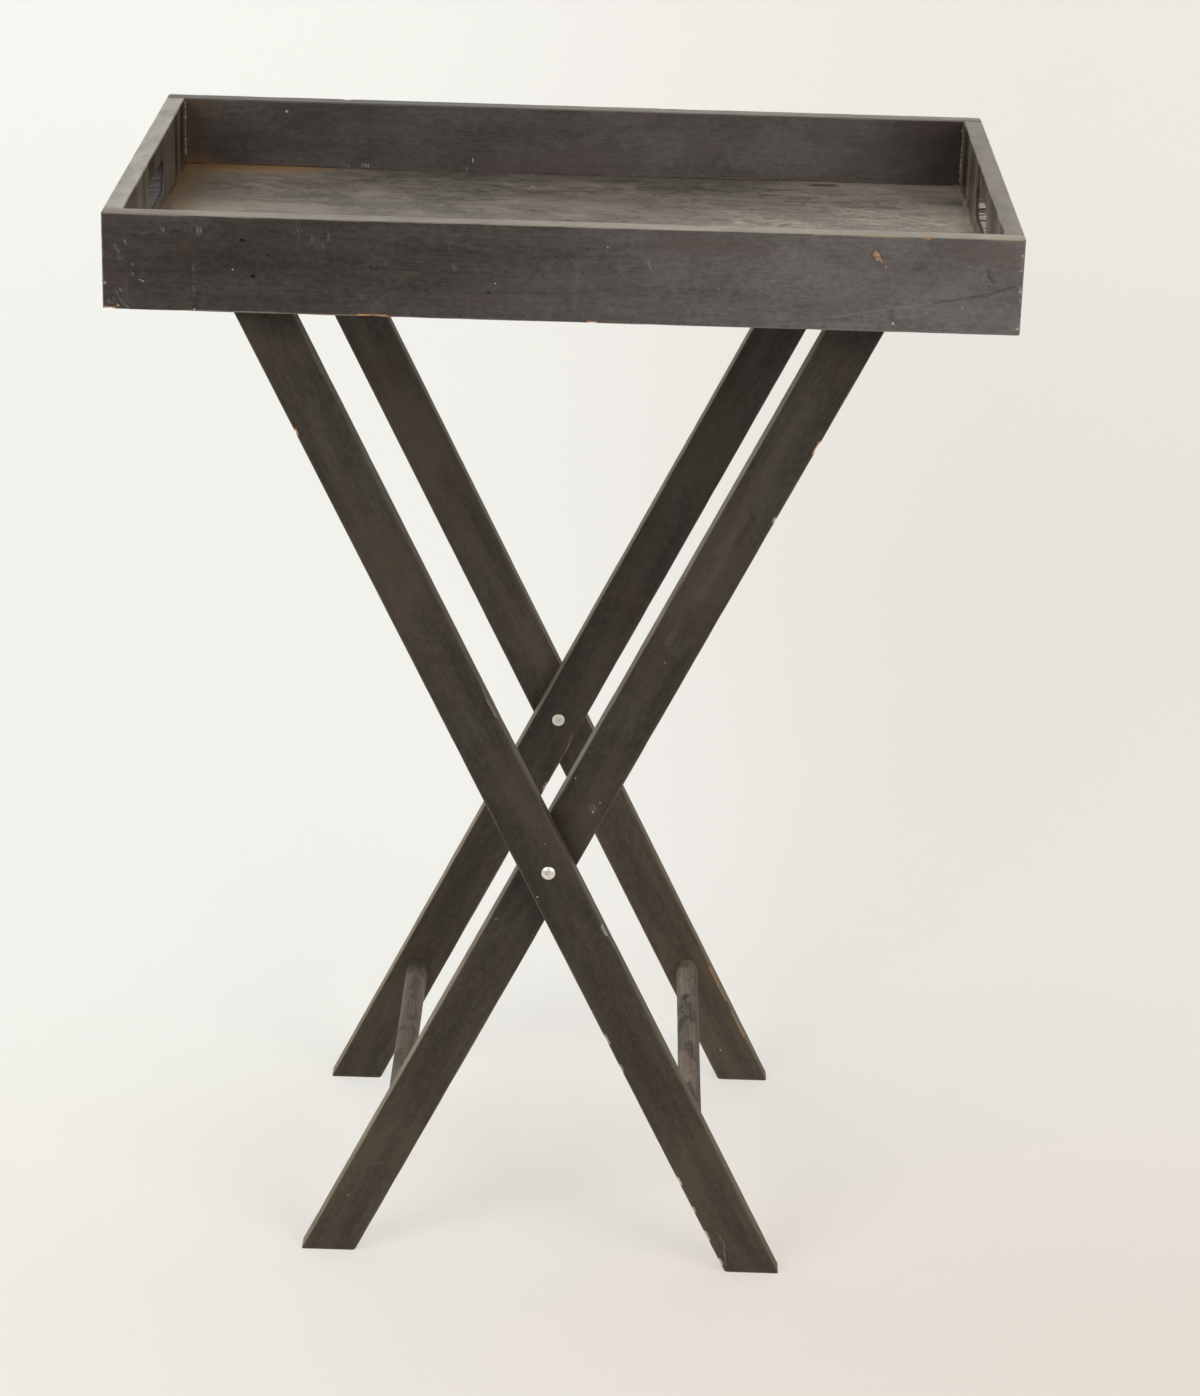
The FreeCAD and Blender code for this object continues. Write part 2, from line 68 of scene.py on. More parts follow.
def camera_matrix():
    ahead = Vector((math.sin(CAMERA_YAW) * math.cos(CAMERA_PITCH),
                    math.cos(CAMERA_YAW) * math.cos(CAMERA_PITCH), -math.sin(CAMERA_PITCH)))
    level = Vector((math.cos(CAMERA_YAW), -math.sin(CAMERA_YAW), 0.0))
    under = ahead.cross(level)
    right = level * math.cos(CAMERA_ROLL) + under * math.sin(CAMERA_ROLL)
    down = under * math.cos(CAMERA_ROLL) - level * math.sin(CAMERA_ROLL)
    turn = Matrix((right, -down, -ahead)).transposed()
    return Matrix.Translation(CAMERA_PLACE) @ turn.to_4x4()


camera = bpy.data.objects.new("camera", bpy.data.cameras.new("camera"))
camera.data.sensor_width = SENSOR_WIDTH
camera.data.lens = CAMERA_LENS
camera.matrix_world = camera_matrix()
scene.collection.objects.link(camera)
scene.camera = camera
print("camera:", CAMERA_LENS, "mm,", round(CAMERA_PLACE.length, 2), "m from the foot of the stand")

# %% [markdown]
# ## Shader sums
# Every finish below is a network of nodes. Adding each node by hand hides the idea, so one small
# class holds a socket and turns Python sums into Math nodes. One method adds any other node, by its
# type without the family name: its settings first, then what goes into its sockets. A colour is
# written as three linear numbers.

# %% Wire: a socket that can be used in sums
class Wire:
    def __init__(self, tree, socket=None):
        self.tree, self.socket = tree, socket

    def node(self, kind, settings=None, sockets=None, out=0):
        made = self.tree.nodes.new("ShaderNode" + kind)
        for key, value in (settings or {}).items():
            setattr(made, key, value)
        for key, value in (sockets or {}).items():
            self.feed(made.inputs[key], value)
        return Wire(self.tree, made.outputs[out] if made.outputs else None)

    def feed(self, target, value):
        if isinstance(value, Wire):
            self.tree.links.new(value.socket, target)
        else:
            target.default_value = (*value, 1.0) if target.type == "RGBA" else value

    def port(self, out):
        return Wire(self.tree, self.socket.node.outputs[out])

    def axes(self):
        apart = self.node("SeparateXYZ", None, {0: self})
        return apart, apart.port("Y"), apart.port("Z")

    def math(self, operation, *values):
        return self.node("Math", {"operation": operation}, dict(enumerate(values)))

    def __add__(self, other):
        return self.math("ADD", self, other)

    __radd__ = __add__

    def __sub__(self, other):
        return self.math("SUBTRACT", self, other)

    def __rsub__(self, other):
        return self.math("SUBTRACT", other, self)

    def __mul__(self, other):
        return self.math("MULTIPLY", self, other)

    __rmul__ = __mul__

    def __abs__(self):
        return self.math("ABSOLUTE", self)

    def least(self, other):
        return self.math("MINIMUM", self, other)

    def most(self, other):
        return self.math("MAXIMUM", self, other)

    def fade(self, start, end):
        return self.node("MapRange", {"interpolation_type": "SMOOTHSTEP"},
                         {0: self, 1: start, 2: end})


print("a wire can:", ", ".join(name for name in vars(Wire) if not name.startswith("_")))


# %% Colours, vectors and noise
def blend(amount, under, over):
    return amount.node("Mix", {"data_type": "RGBA"}, {0: amount, 6: under, 7: over}, out=2)


def layered(colour, *coats):
    for amount, tone in coats:
        colour = blend(amount, colour, tone)
    return colour


def scaled(vector, factor):
    return factor.node("VectorMath", {"operation": "SCALE"}, {0: vector, "Scale": factor})


def vector_sum(operation, first, second, out=0):
    return first.node("VectorMath", {"operation": operation}, {0: first, 1: second}, out=out)


def turned(point, rotation):
    return point.node("Mapping", None, {"Vector": point, "Rotation": rotation})


def grain(point, stretch, detail=3, twist=0):
    return point.node("TexNoise", None,
                      {"Vector": vector_sum("MULTIPLY", point, stretch), "Scale": 1.0,
                       "Detail": detail, "Distortion": twist})


def new_finish(name):
    finish = bpy.data.materials.new(name)
    finish.use_nodes = True
    return finish, Wire(finish.node_tree).node("TexCoord", out="Object")


def lay_on(finish, colour, rough, height, strength=0.3, distance=0.0004, constants=()):
    relief = colour.node("Bump", None,
                         {"Strength": strength, "Distance": distance, "Height": height})
    inputs = finish.node_tree.nodes["Principled BSDF"].inputs
    for socket, value in (("Base Color", colour), ("Roughness", rough), ("Normal", relief), *constants):
        colour.feed(inputs[socket], value)
    print(finish.name + ":", len(finish.node_tree.nodes), "nodes")
    return finish


def looked_at(wire):
    rays = wire.node("LightPath")
    glossy = rays.port("Is Glossy Ray")
    seen = rays.port("Is Camera Ray").most(glossy).most(rays.port("Is Transmission Ray"))
    return glossy, seen


print("shader sums ready")

# %% [markdown]
# ## The studio sweep
# The table stands on a pale paper sweep: a floor that curves up close behind it. A plane with a
# wall would show a line where they meet, so one edge is drawn forward, spun through a quarter turn
# and drawn up. More than half of its tone is its own, for the camera and for reflections, so the
# shadows stay soft. From behind or below it is clear, so the table can be seen from all sides.

# %% Sweep
SWEEP_FRONT, SWEEP_FOLD, SWEEP_RADIUS, SWEEP_TOP = -7.0, 0.34, 0.5, 3.2
SWEEP_HALF_WIDTH = 6.0
SWEEP_STEPS = 24


def verts_in(geometry):
    return [g for g in geometry if isinstance(g, bmesh.types.BMVert)]


def edges_in(geometry):
    return [g for g in geometry if isinstance(g, bmesh.types.BMEdge)]


def shift(bm, step, verts=None):
    bmesh.ops.translate(bm, vec=step, verts=verts or bm.verts[:])


def face_outwards(bm):
    bmesh.ops.recalc_face_normals(bm, faces=bm.faces[:])


def draw_on(bm, edges, step):
    drawn = bmesh.ops.extrude_edge_only(bm, edges=edges)["geom"]
    shift(bm, step, verts_in(drawn))
    return [e for e in edges_in(drawn) if len(e.link_faces) == 1
            and abs(e.verts[0].co.x - e.verts[1].co.x) > SWEEP_HALF_WIDTH]


bm = bmesh.new()
ends = [bm.verts.new((x, SWEEP_FRONT, 0.0)) for x in (-SWEEP_HALF_WIDTH, SWEEP_HALF_WIDTH)]
edges = draw_on(bm, [bm.edges.new(ends)], (0.0, SWEEP_FOLD - SWEEP_FRONT, 0.0))
spun = bmesh.ops.spin(bm, geom=edges, cent=(0.0, SWEEP_FOLD, SWEEP_RADIUS), axis=(1.0, 0.0, 0.0),
                      angle=math.pi / 2, steps=SWEEP_STEPS)["geom_last"]
draw_on(bm, edges_in(spun), (0.0, 0.0, SWEEP_TOP - SWEEP_RADIUS))
face_outwards(bm)
floor_faces = [f for f in bm.faces if f.calc_center_median().z < 1e-4]
if floor_faces[0].normal.z < 0.0:
    bmesh.ops.reverse_faces(bm, faces=bm.faces[:])
for face in bm.faces:
    face.smooth = True
sweep_mesh = bpy.data.meshes.new("sweep")
bm.to_mesh(sweep_mesh)
bm.free()
sweep = bpy.data.objects.new("sweep", sweep_mesh)
scene.collection.objects.link(sweep)
print("sweep:", len(sweep_mesh.polygons), "faces, back wall at y =", SWEEP_FOLD + SWEEP_RADIUS)

# %% Sweep paper
OWN_TONE = 0.6

paper = bpy.data.materials.new("sweep_paper")
paper.use_nodes = True
paper.node_tree.nodes.clear()
wire = Wire(paper.node_tree)
across, depth, _ = wire.node("TexCoord", out="Object").axes()
wall_tone = blend(across.fade(-0.45, 0.5), (0.93, 0.938, 0.90), (0.85, 0.825, 0.79))
floor_tone = blend(across.fade(-0.7, 0.6), (0.89, 0.865, 0.82), (0.80, 0.74, 0.675))
glossy, seen = looked_at(wire)
# Seen in reflections only, the paper in front of the table is painted darker: painted shade in what the
# table reflects.
tone = layered(blend(depth.fade(0.45, -0.35), wall_tone, floor_tone),
               (glossy * depth.fade(-0.5, -1.5) * 0.8, (0.10, 0.09, 0.08)))
lit = wire.node("BsdfDiffuse", None, {"Color": tone})
own = wire.node("Emission", None, {"Color": tone})
face_on = wire.node("MixShader", None, {0: seen * OWN_TONE, 1: lit, 2: own})
behind = wire.node("NewGeometry", out="Backfacing")
clear = wire.node("BsdfTransparent")
both = wire.node("MixShader", None, {0: behind, 1: face_on, 2: clear})
wire.node("OutputMaterial", None, {"Surface": both})
sweep_mesh.materials.append(paper)
print("sweep paper:", len(paper.node_tree.nodes), "nodes")

# %% [markdown]
# ## Light
# Two softboxes stood in front, one each side: the floor shadows fall to the right and a faint one
# falls to the left on the paper behind. A sun would cut hard edges, so area lamps are used, and a
# pale world fills the rest. Together they light a white card to about white, no more.

# %% Lamps and world
def softbox(name, place, aim, size, power, tint):
    lamp = bpy.data.lights.new(name, "AREA")
    lamp.shape, lamp.size, lamp.energy, lamp.color = "SQUARE", size, power, tint
    made = bpy.data.objects.new(name, lamp)
    made.location = place
    made.rotation_euler = (Vector(aim) - Vector(place)).to_track_quat("-Z", "Y").to_euler()
    scene.collection.objects.link(made)


softbox("left_softbox", (-2.1, -2.3, 2.5), (0.0, 0.0, 0.5), 1.6, 46.0, (1.0, 0.99, 0.97))
softbox("right_softbox", (2.3, -2.2, 2.2), (0.0, 0.0, 0.6), 1.8, 46.0, (1.0, 0.97, 0.93))

world = bpy.data.worlds.new("studio")
world.use_nodes = True
world.node_tree.nodes.clear()
wire = Wire(world.node_tree)
glossy, seen = looked_at(wire)
frontwards = wire.node("TexCoord", out="Generated").axes()[1].fade(0.1, -0.5)
level = seen * 0.4 + 0.6 - glossy * frontwards * 0.75
glow = wire.node("Background", None, {"Color": (0.90, 0.895, 0.87), "Strength": level})
wire.node("OutputWorld", None, {"Surface": glow})
scene.world = world
print("lamps:", [o.name for o in scene.objects if o.type == "LIGHT"])

# %% [markdown]
# ## Boards
# A board has a middle, a turn and three half sizes: along its grain, through its thickness and
# across its width. The mesh and the finish both read this, so the grain runs along the board and
# the wear finds its arrises, however the board leans.

# %% Board sizes, read from the CAD nodes
Board = namedtuple("Board", "middle turn half ends")
LEG_WIDTH, LEG_TOP, PIVOT_HEIGHT, LEG_SLOPE = 0.040, 0.824, 0.355, 0.4955
ALONG_X = (0.0, 0.0, 0.0)
ALONG_Y = (0.0, 0.0, math.pi / 2)


def tray_board(node, turn):
    low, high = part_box(node)
    size = (high - low) / 2
    half = size if turn == ALONG_X else Vector((size.y, size.x, size.z))
    return Board((low + high) / 2, turn, half, None)


def leg_board(node, side):
    low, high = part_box(node)
    lean = math.atan(LEG_SLOPE)
    turn = (0.0, -math.pi / 2 + side * lean, 0.0)
    middle = Vector((side * (LEG_TOP / 2 - PIVOT_HEIGHT) * LEG_SLOPE, (low.y + high.y) / 2,
                     LEG_TOP / 2))
    half = Vector((LEG_TOP / 2 / math.cos(lean), (high.y - low.y) / 2, LEG_WIDTH / 2))
    return Board(middle, turn, half, (0.0, LEG_TOP))


def place_of(board):
    return Matrix.Translation(board.middle) @ Euler(board.turn).to_matrix().to_4x4()


front_board = tray_board("tray_front_wall", ALONG_X)
back_board = tray_board("tray_back_wall", ALONG_X)
print("front wall half sizes:", [round(v, 4) for v in front_board.half])

# %% [markdown]
# ## The worn stain
# The wood was stained almost black, and the stain has thinned unevenly: streaks along the grain, a
# purple or brown cast in places, a grey bloom, pale lines on the arrises and small chips down to raw
# wood. A picture of wood would repeat and would not follow the leaning legs, so the finish is built
# from noise that is stretched along each board. What happened at one place is a listed mark: one or
# two spots on the board's face, then a width, all in millimetres, and a strength.

# %% Marks that sit at one place on a board
MarkKind = namedtuple("MarkKind", "tone soft broken", defaults=(False,))
MARK_KINDS = {
    # A pit's near-black is dirt and painted shade in the hollow.
    "pit": MarkKind((0.004, 0.0035, 0.003), 0.5),
    "fleck": MarkKind((0.46, 0.43, 0.38), 0.4),
    "raw": MarkKind((0.42, 0.225, 0.095), 0.5),
    "splinter": MarkKind((0.17, 0.138, 0.105), 0.2),
    "scuff": MarkKind((0.30, 0.28, 0.25), 0.0, True),
    "rub": MarkKind((0.20, 0.188, 0.172), 0.0, True),
    "scratch": MarkKind((0.21, 0.195, 0.175), 0.1),
    "smear": MarkKind((0.125, 0.114, 0.102), 0.0),
    "dark": MarkKind((0.014, 0.011, 0.0095), 0.0),
    "warm": MarkKind((0.062, 0.036, 0.022), 0.0),
    "purple": MarkKind((0.098, 0.066, 0.064), 0.0),
}


def away_from(point, start, end=None):
    if end is None:
        return vector_sum("DISTANCE", point, start, out="Value")
    run = end - start
    from_start = vector_sum("SUBTRACT", point, start)
    share = vector_sum("DOT_PRODUCT", from_start, run / run.length_squared, out="Value")
    nearest = scaled(run, share.most(0.0).least(1.0))
    return vector_sum("DISTANCE", from_start, nearest, out="Value")


def stroke(point, ends, width, soft):
    return away_from(point, *ends).fade(width, width * soft)


def mark_on(point, on_face, spots, width, soft):
    ends = [on_face(a * MM, b * MM) for a, b in zip(spots[::2], spots[1::2])]
    return stroke(point, ends, width * MM, soft)


def ragged(point, spread, pitch=420.0):
    wander = point.node("TexNoise", None,
                        {"Vector": point, "Scale": pitch, "Detail": 2.0}, out="Color")
    shift = vector_sum("SUBTRACT", wander, (0.5, 0.5, 0.5))
    return vector_sum("ADD", point, vector_sum("MULTIPLY", shift, spread))


def upright_face(y):
    return lambda x, z: Vector((x, y, z))


def paint_marks(point, colour, groups, on_face, spread):
    torn = ragged(point, spread)
    flakes = grain(turned(point, (0, 0.35, 0)), (620, 620, 190), 3).fade(0.47, 0.62)
    for kind, rows in groups:
        look = MARK_KINDS[kind]
        for *spots, width, strength in rows:
            shape = mark_on(torn, on_face, spots, width, look.soft)
            shape = shape * flakes if look.broken else shape
            colour = blend(shape * strength, colour, look.tone)
    return colour


print("marks:", ", ".join(MARK_KINDS))

# %% Stain tones and chips
STAIN_DEEP, STAIN = (0.0122, 0.0096, 0.0080), (0.0465, 0.0366, 0.0296)
PURPLE_CAST, BROWN_CAST = (0.041, 0.0285, 0.0275), (0.045, 0.0350, 0.0262)
BLOOM, RUBBED = (0.082, 0.073, 0.064), (0.21, 0.168, 0.128)
RIM_DARK, RIM_LIGHT = (0.132, 0.115, 0.094), (0.188, 0.167, 0.140)
RIM_BROWN, RIM_BARE = (0.125, 0.094, 0.064), (0.27, 0.245, 0.21)
RIM_STRETCHES = ((11, 26, 26), (40, 60, 60), (17, 31, 31))
NO_TINT = (1.0, 1.0, 1.0)
UPPER, LOWER = 1, -1
FRONT, REAR = -1, 1
CHIP_TONES = {"brown": ((0.070, 0.047, 0.031), (0.135, 0.092, 0.060)),
              "raw": ((0.26, 0.125, 0.05), (0.46, 0.25, 0.11)),
              "pale": ((0.20, 0.19, 0.16), (0.44, 0.43, 0.37))}
SMALLEST_CHIP = {"brown": 0.0018, "raw": 0.0022, "pale": 0.0025}
Rim = namedtuple("Rim", "light side rough tint", defaults=(NO_TINT,))
Chip = namedtuple("Chip", "at length bite face edge tone")


def chips_from(groups, along=float, lean=1):
    return [Chip(along(at * MM), length * MM, bite * MM, face, edge * lean, tone)
            for face, edge, tone, rows in groups for at, length, bite in rows]


def lighter(tone, light, tint=NO_TINT):
    return tuple(part * light * share for part, share in zip(tone, tint))


print("chip tones:", ", ".join(CHIP_TONES))

# %% Board noises and the way to the nearest arris
Noises = namedtuple("Noises", "figure fibre cloud patch mottle speck")


def board_noises(local):
    return Noises(figure=grain(local, (5, 75, 75), 4, 0.6),
                  fibre=grain(local, (26, 1150, 1150), 2),
                  cloud=grain(local, (7, 16, 16), 3),
                  patch=grain(local, (19, 34, 34), 4, 0.4),
                  mottle=grain(local, (150, 240, 240), 4),
                  speck=grain(local, (430, 640, 640), 2))


def arris_gap(point, local, board):
    along, through, over = local.axes()
    side_gap = board.half.z - abs(over)
    face_gap = board.half.y - abs(through)
    if board.ends:
        height = point.axes()[2]
        end_gap = (height - board.ends[0]).least(board.ends[1] - height)
    else:
        end_gap = board.half.x - abs(along)
    return side_gap.least(face_gap).most(side_gap.most(face_gap).least(end_gap))


print("board noises:", ", ".join(Noises._fields))

# %% Stained wood
WEAR_REACH = 0.0030
RIM_FADE = (0.0009, 0.0003)


def stained(name, board, chips=(), bloom=0.25, rim=None, cast=PURPLE_CAST, light=1.0, tint=NO_TINT,
            dull=0.22, edge_wear=0.7, own=None, spread=0.16, specular=0.5):
    finish, point = new_finish(name)
    local = point.node("Mapping", {"vector_type": "TEXTURE"},
                       {"Vector": point, "Location": board.middle, "Rotation": board.turn})
    noises = board_noises(local)
    figure, fibre, cloud, patch, mottle, speck = noises
    deep, plain, cast_tone = (lighter(tone, light, tint) for tone in (STAIN_DEEP, STAIN, cast))
    tone = figure * 0.40 + fibre * 0.22 + mottle * 0.20 + speck * 0.18
    pores = grain(local, (60, 1300, 1300), 1).fade(0.62, 0.72)
    near_edge = arris_gap(point, local, board).fade(WEAR_REACH, 0.0)
    worn = (near_edge * 0.62 + grain(local, (34, 190, 190), 3) * 0.75).fade(0.74, 0.95)
    colour = layered(
        blend(tone.fade(0.5 - spread, 0.5 + spread), deep, plain),
        (cloud.fade(0.48, 0.66) * 0.7, cast_tone),
        ((patch * 0.7 + mottle * 0.3).fade(0.44, 0.72) * bloom, BLOOM),
        (pores * 0.45, deep),
        (worn * edge_wear, RUBBED))
    rough = dull + cloud * 0.12 + mottle * 0.08 + worn * 0.12
    height = fibre * 0.5 + figure * 0.4 - pores * 0.25

    if rim:
        top = (local.axes()[2] * rim.side).fade(*(board.half.z - step for step in RIM_FADE))
        broad, spots, stains = (grain(local, stretch, 1) for stretch in RIM_STRETCHES)
        dark, pale, brown, bare = (lighter(tone, rim.light, rim.tint)
                                   for tone in (RIM_DARK, RIM_LIGHT, RIM_BROWN, RIM_BARE))
        rim_tone = layered(blend(broad.fade(0.35, 0.65), dark, pale),
                           (stains.fade(0.50, 0.68) * 0.45, brown),
                           (spots.fade(0.50, 0.74) * 0.30, bare))
        colour = blend(top * 0.97, colour, rim_tone)
        rough = rough * (1.0 - top) + top * rim.rough
        height = height * (1.0 - top * 0.97)

    if own:
        colour, rough = own(point, colour, rough, noises)
    place = place_of(board)
    torn = ragged(point, (0.0016, 0.0016, 0.0016)) if chips else None
    for at, length, bite, face, edge, chip_tone in chips:
        corner = Vector((at, face * board.half.y, edge * board.half.z))
        ends = [place @ (corner + Vector((side * length * 0.42, 0.0, 0.0))) for side in (-1, 1)]
        bare = stroke(torn, ends, max(bite * 1.3, SMALLEST_CHIP[chip_tone]), 0.5)
        colour = blend(bare, colour, blend(fibre.fade(0.35, 0.65), *CHIP_TONES[chip_tone]))
        rough = rough + bare * 0.3
    return lay_on(finish, colour, rough, height, 0.35,
                  constants=(("Specular IOR Level", specular),))


print("stain: wear reaches", round(WEAR_REACH / MM, 1), "mm in from an arris")

# %% [markdown]
# ## Board meshes
# A box with sharp edges looks made of card. Here the box is cut into short lengths, its edges are
# rounded with a bevel, and then each arris is rubbed down a little by noise and bitten into where a
# chip is listed. A bevel modifier would round evenly, which a hand plane and fifty years don't. A
# Weighted Normal modifier keeps the broad faces flat in the light, so the small rounding looks crisp.

# %% Cuts and rounding
CUT_PITCH = 0.002
EDGE_LINES = (0.0035, 0.008)


def slice_mesh(bm, place, normal, geometry=None, dist=1e-6, clear_outer=False):
    geometry = geometry or bm.verts[:] + bm.edges[:] + bm.faces[:]
    return bmesh.ops.bisect_plane(bm, geom=geometry, dist=dist, plane_co=place, plane_no=normal,
                                  clear_outer=clear_outer)["geom"]


def cut_box(half, spare=0.0):
    bm = bmesh.new()
    bmesh.ops.create_cube(bm, size=2.0)
    bmesh.ops.scale(bm, vec=half + Vector((spare, 0.0, 0.0)), verts=bm.verts[:])
    return bm


def edge_cuts(bm, half):
    for line in EDGE_LINES:
        for side in (-1, 1):
            slice_mesh(bm, (0.0, 0.0, side * (half.z - line)), (0.0, 0.0, 1.0))


def put_in_place(bm, board):
    bmesh.ops.transform(bm, matrix=place_of(board), verts=bm.verts[:])


def turn_about(bm, axis, angle):
    bmesh.ops.rotate(bm, cent=(0, 0, 0), matrix=Matrix.Rotation(angle, 3, axis), verts=bm.verts[:])


def cross_cuts(bm, heading, length):
    lengthwise = [e for e in bm.edges
                  if abs((e.verts[1].co - e.verts[0].co).normalized().dot(heading)) > 0.999]
    bmesh.ops.subdivide_edges(bm, edges=lengthwise, cuts=int(length / CUT_PITCH),
                              use_grid_fill=True)


def sharp_edges(bm, angle=0.5):
    return [e for e in bm.edges if len(e.link_faces) == 2 and e.calc_face_angle(0.0) > angle]


def round_edges(bm, radius, edges, segments=3):
    bmesh.ops.bevel(bm, geom=edges, offset=radius, offset_type="OFFSET", segments=segments,
                    profile=0.5, affect="EDGES", material=-1, clamp_overlap=True)


print("one cut every", CUT_PITCH * 1000, "mm")

# %% Wear and finishing
ARRIS_REACH, SCRAPE_PITCH, FACE_SEED, EDGE_SEED = 0.0022, 38.0, 7.3, 11.7
SPLINTER_PITCH, SPLINTER_FINE = 610.0, 400.0
SHARP = math.radians(38)


def wear(bm, board, scrape, chips=()):
    place = place_of(board)
    back = place.inverted()
    for vert in bm.verts:
        q = back @ vert.co
        if board.half.y - abs(q.y) > ARRIS_REACH or board.half.z - abs(q.z) > ARRIS_REACH:
            continue
        face, edge = math.copysign(1, q.y), math.copysign(1, q.z)
        bite = scrape * max(0.0, noise.noise((q.x * SCRAPE_PITCH, face * FACE_SEED, edge * EDGE_SEED)))
        for chip in chips:
            share = (q.x - chip.at) * 2 / chip.length
            if (face, edge) == (chip.face, chip.edge) and abs(share) < 1.0:
                splinter = 0.75 + 0.5 * noise.noise((q.x * SPLINTER_PITCH, q.y * SPLINTER_FINE,
                                                     q.z * SPLINTER_FINE))
                bite += chip.bite * (1.0 - share * share) * splinter
        q.y -= face * bite * 0.6
        q.z -= edge * bite
        vert.co = place @ q


def add_piece(name, bm, finish, body, slot, *stands_for):
    for face in bm.faces:
        face.smooth = True
    for edge in bm.edges:
        edge.smooth = edge.calc_face_angle(0.0) < SHARP
    mesh = bpy.data.meshes.new(name)
    bm.to_mesh(mesh)
    bm.free()
    piece = bpy.data.objects.new(name, mesh)
    mesh.materials.append(finish)
    scene.collection.objects.link(piece)
    piece.modifiers.new("flat_faces", "WEIGHTED_NORMAL").keep_sharp = True
    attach(piece, body)
    if stands_for:
        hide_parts(*stands_for)
    print(name + ":", len(mesh.polygons), "faces")


def planed_board(board, arris, soft_side=0, soft_radius=0.0024):
    bm = cut_box(board.half)
    if soft_side:
        corners = [e for e in bm.edges if all(v.co.y * soft_side > 0.0 for v in e.verts)
                   and abs(e.verts[0].co.z - e.verts[1].co.z) > board.half.z]
        round_edges(bm, soft_radius, corners, 4)
    edge_cuts(bm, board.half)
    cross_cuts(bm, Vector((1.0, 0.0, 0.0)), board.half.x * 2)
    round_edges(bm, arris, sharp_edges(bm))
    put_in_place(bm, board)
    return bm


print("arrises are rubbed down within", round(ARRIS_REACH / MM, 1), "mm")

# %% [markdown]
# ## Long tray walls
# Two full-length boards. The front one faces the camera, so it carries the marks that the photo
# shows: a raw chip with a tail, black pits, a fine scratch that turns into a dark line of grain,
# soft dark knots and rubbed places. It turns paler and greyer towards the right, its rim too.

# %% Front wall marks
FRONT_FACE = front_board.middle.y - front_board.half.y
WALL_ARRIS, WALL_SCRAPE, RIM_ROUGH = 0.0009, 0.0003, 0.45
FACE_SPREAD = (0.0022, 0.0, 0.0022)
on_front = upright_face(FRONT_FACE)
front_chips = chips_from([(FRONT, UPPER, "raw", [(268, 3, 0.4)]),
                          (FRONT, LOWER, "raw", [(-140, 24, 0.7), (-335, 8, 1.0), (23, 6, 0.6)])])
front_marks = [
    ("pit", [(-216.6, 856.6, 1.3, 0.9), (-53.8, 832.9, 1.5, 0.9), (-294.5, 876.5, 1, 0.8)]),
    ("fleck", [(-243.2, 845, 0.8, 0.8), (-311.8, 834.8, -309, 834, 0.8, 0.4), (-271.9, 813.5, 0.9, 0.8),
               (-49.2, 840.1, 0.8, 0.8), (32.9, 870.2, 1, 0.35), (115.5, 841.1, 0.7, 0.4),
               (245.5, 818.6, 1, 0.8), (296, 832.1, 0.9, 0.7), (337.8, 872.5, 1.2, 0.8),
               (337.6, 861, 1, 0.7), (337.7, 845.5, 1, 0.7), (337.6, 817.2, 1.2, 0.8),
               (-338, 832, 1.8, 0.4)]),
    ("raw", [(-328.3, 815, 1.1, 0.8), (-337.5, 813, -331, 812.4, 1.6, 0.8)]),
    ("scuff", [(-324, 865, -321, 861.2, 2.2, 0.33), (-332, 821, -326.2, 826.5, 3.4, 0.32),
               (-329, 860, -326, 851, 4.5, 0.22), (-334, 819, -320, 815, 6, 0.28),
               (338.5, 870, 338.5, 820, 2.2, 0.5), (-148, 825, -125, 823, 8, 0.12)]),
    ("rub", [(-316.8, 847.5, -317.2, 839, 2.4, 0.45), (-271.8, 855, -271.8, 822, 1.6, 0.28),
             (-172.4, 883.5, -172.2, 869, 2.2, 0.36), (-194.4, 882, -194.5, 870, 2.4, 0.30),
             (-184, 870, -176, 865, 6, 0.25)]),
    ("smear", [(-80.1, 852.5, -79.5, 850.5, 2.6, 0.40), (-85, 870, -45, 864, 2.6, 0.15),
               (186.5, 825.4, 188, 823.5, 4, 0.30)]),
    ("scratch", [(63.2, 859, 65.5, 854, 0.9, 0.55), (203.2, 822.5, 242.4, 829.8, 1, 0.28),
                 (242.4, 829.8, 273.8, 834.9, 0.9, 0.38)]),
    ("dark", [(273.8, 834.9, 315.4, 842.9, 1.4, 0.40), (315.4, 842.9, 333.4, 849.5, 1.7, 0.35),
              (-21, 860.3, 50.3, 864, 1.3, 0.32), (-72.2, 832.2, 20.9, 835.1, 1.3, 0.3),
              (259.5, 860.4, 265.5, 862.2, 4.2, 0.30), (313.2, 861.2, 314.5, 856, 2.2, 0.40),
              (314.5, 856, 318, 852.8, 2.2, 0.45), (305.9, 868.3, 305.5, 865, 3.5, 0.22),
              (243.9, 827.5, 244.2, 822.5, 5, 0.30), (102.9, 868.4, 1.3, 0.4), (122, 869, 1.3, 0.4),
              (128.2, 859.3, 1.3, 0.4), (137.1, 852.7, 1.6, 0.4), (-150, 849, -105, 848, 1.1, 0.5),
              (-205, 830, -176, 829.5, 1, 0.45)]),
    ("warm", [(85, 875.5, 125, 874, 10, 0.22), (-278, 859, 12, 0.35), (-282, 818, 9, 0.3)]),
    ("purple", [(295, 876, 330, 870, 13, 0.55), (70, 874, 150, 872, 11, 0.35)]),
]
print("front wall:", sum(len(rows) for _, rows in front_marks), "marks,", len(front_chips), "chips")

# %% Front wall finish
RIM_START, RIM_END = 0.8838, 0.8846
PITS = ((-236.8, 866.7, -235.4, 867.2), (-229, 839.9, -227.6, 840.2))
CHIP_HEAD, CHIP_NECK, CHIP_TAIL = (230, 871.2), (231.8, 868.5), (238.8, 860.8)
HATCHED = (((-280.9, 873.6, -261.8, 873.8), 4.6), ((-301, 873, -289, 873), 3.6))


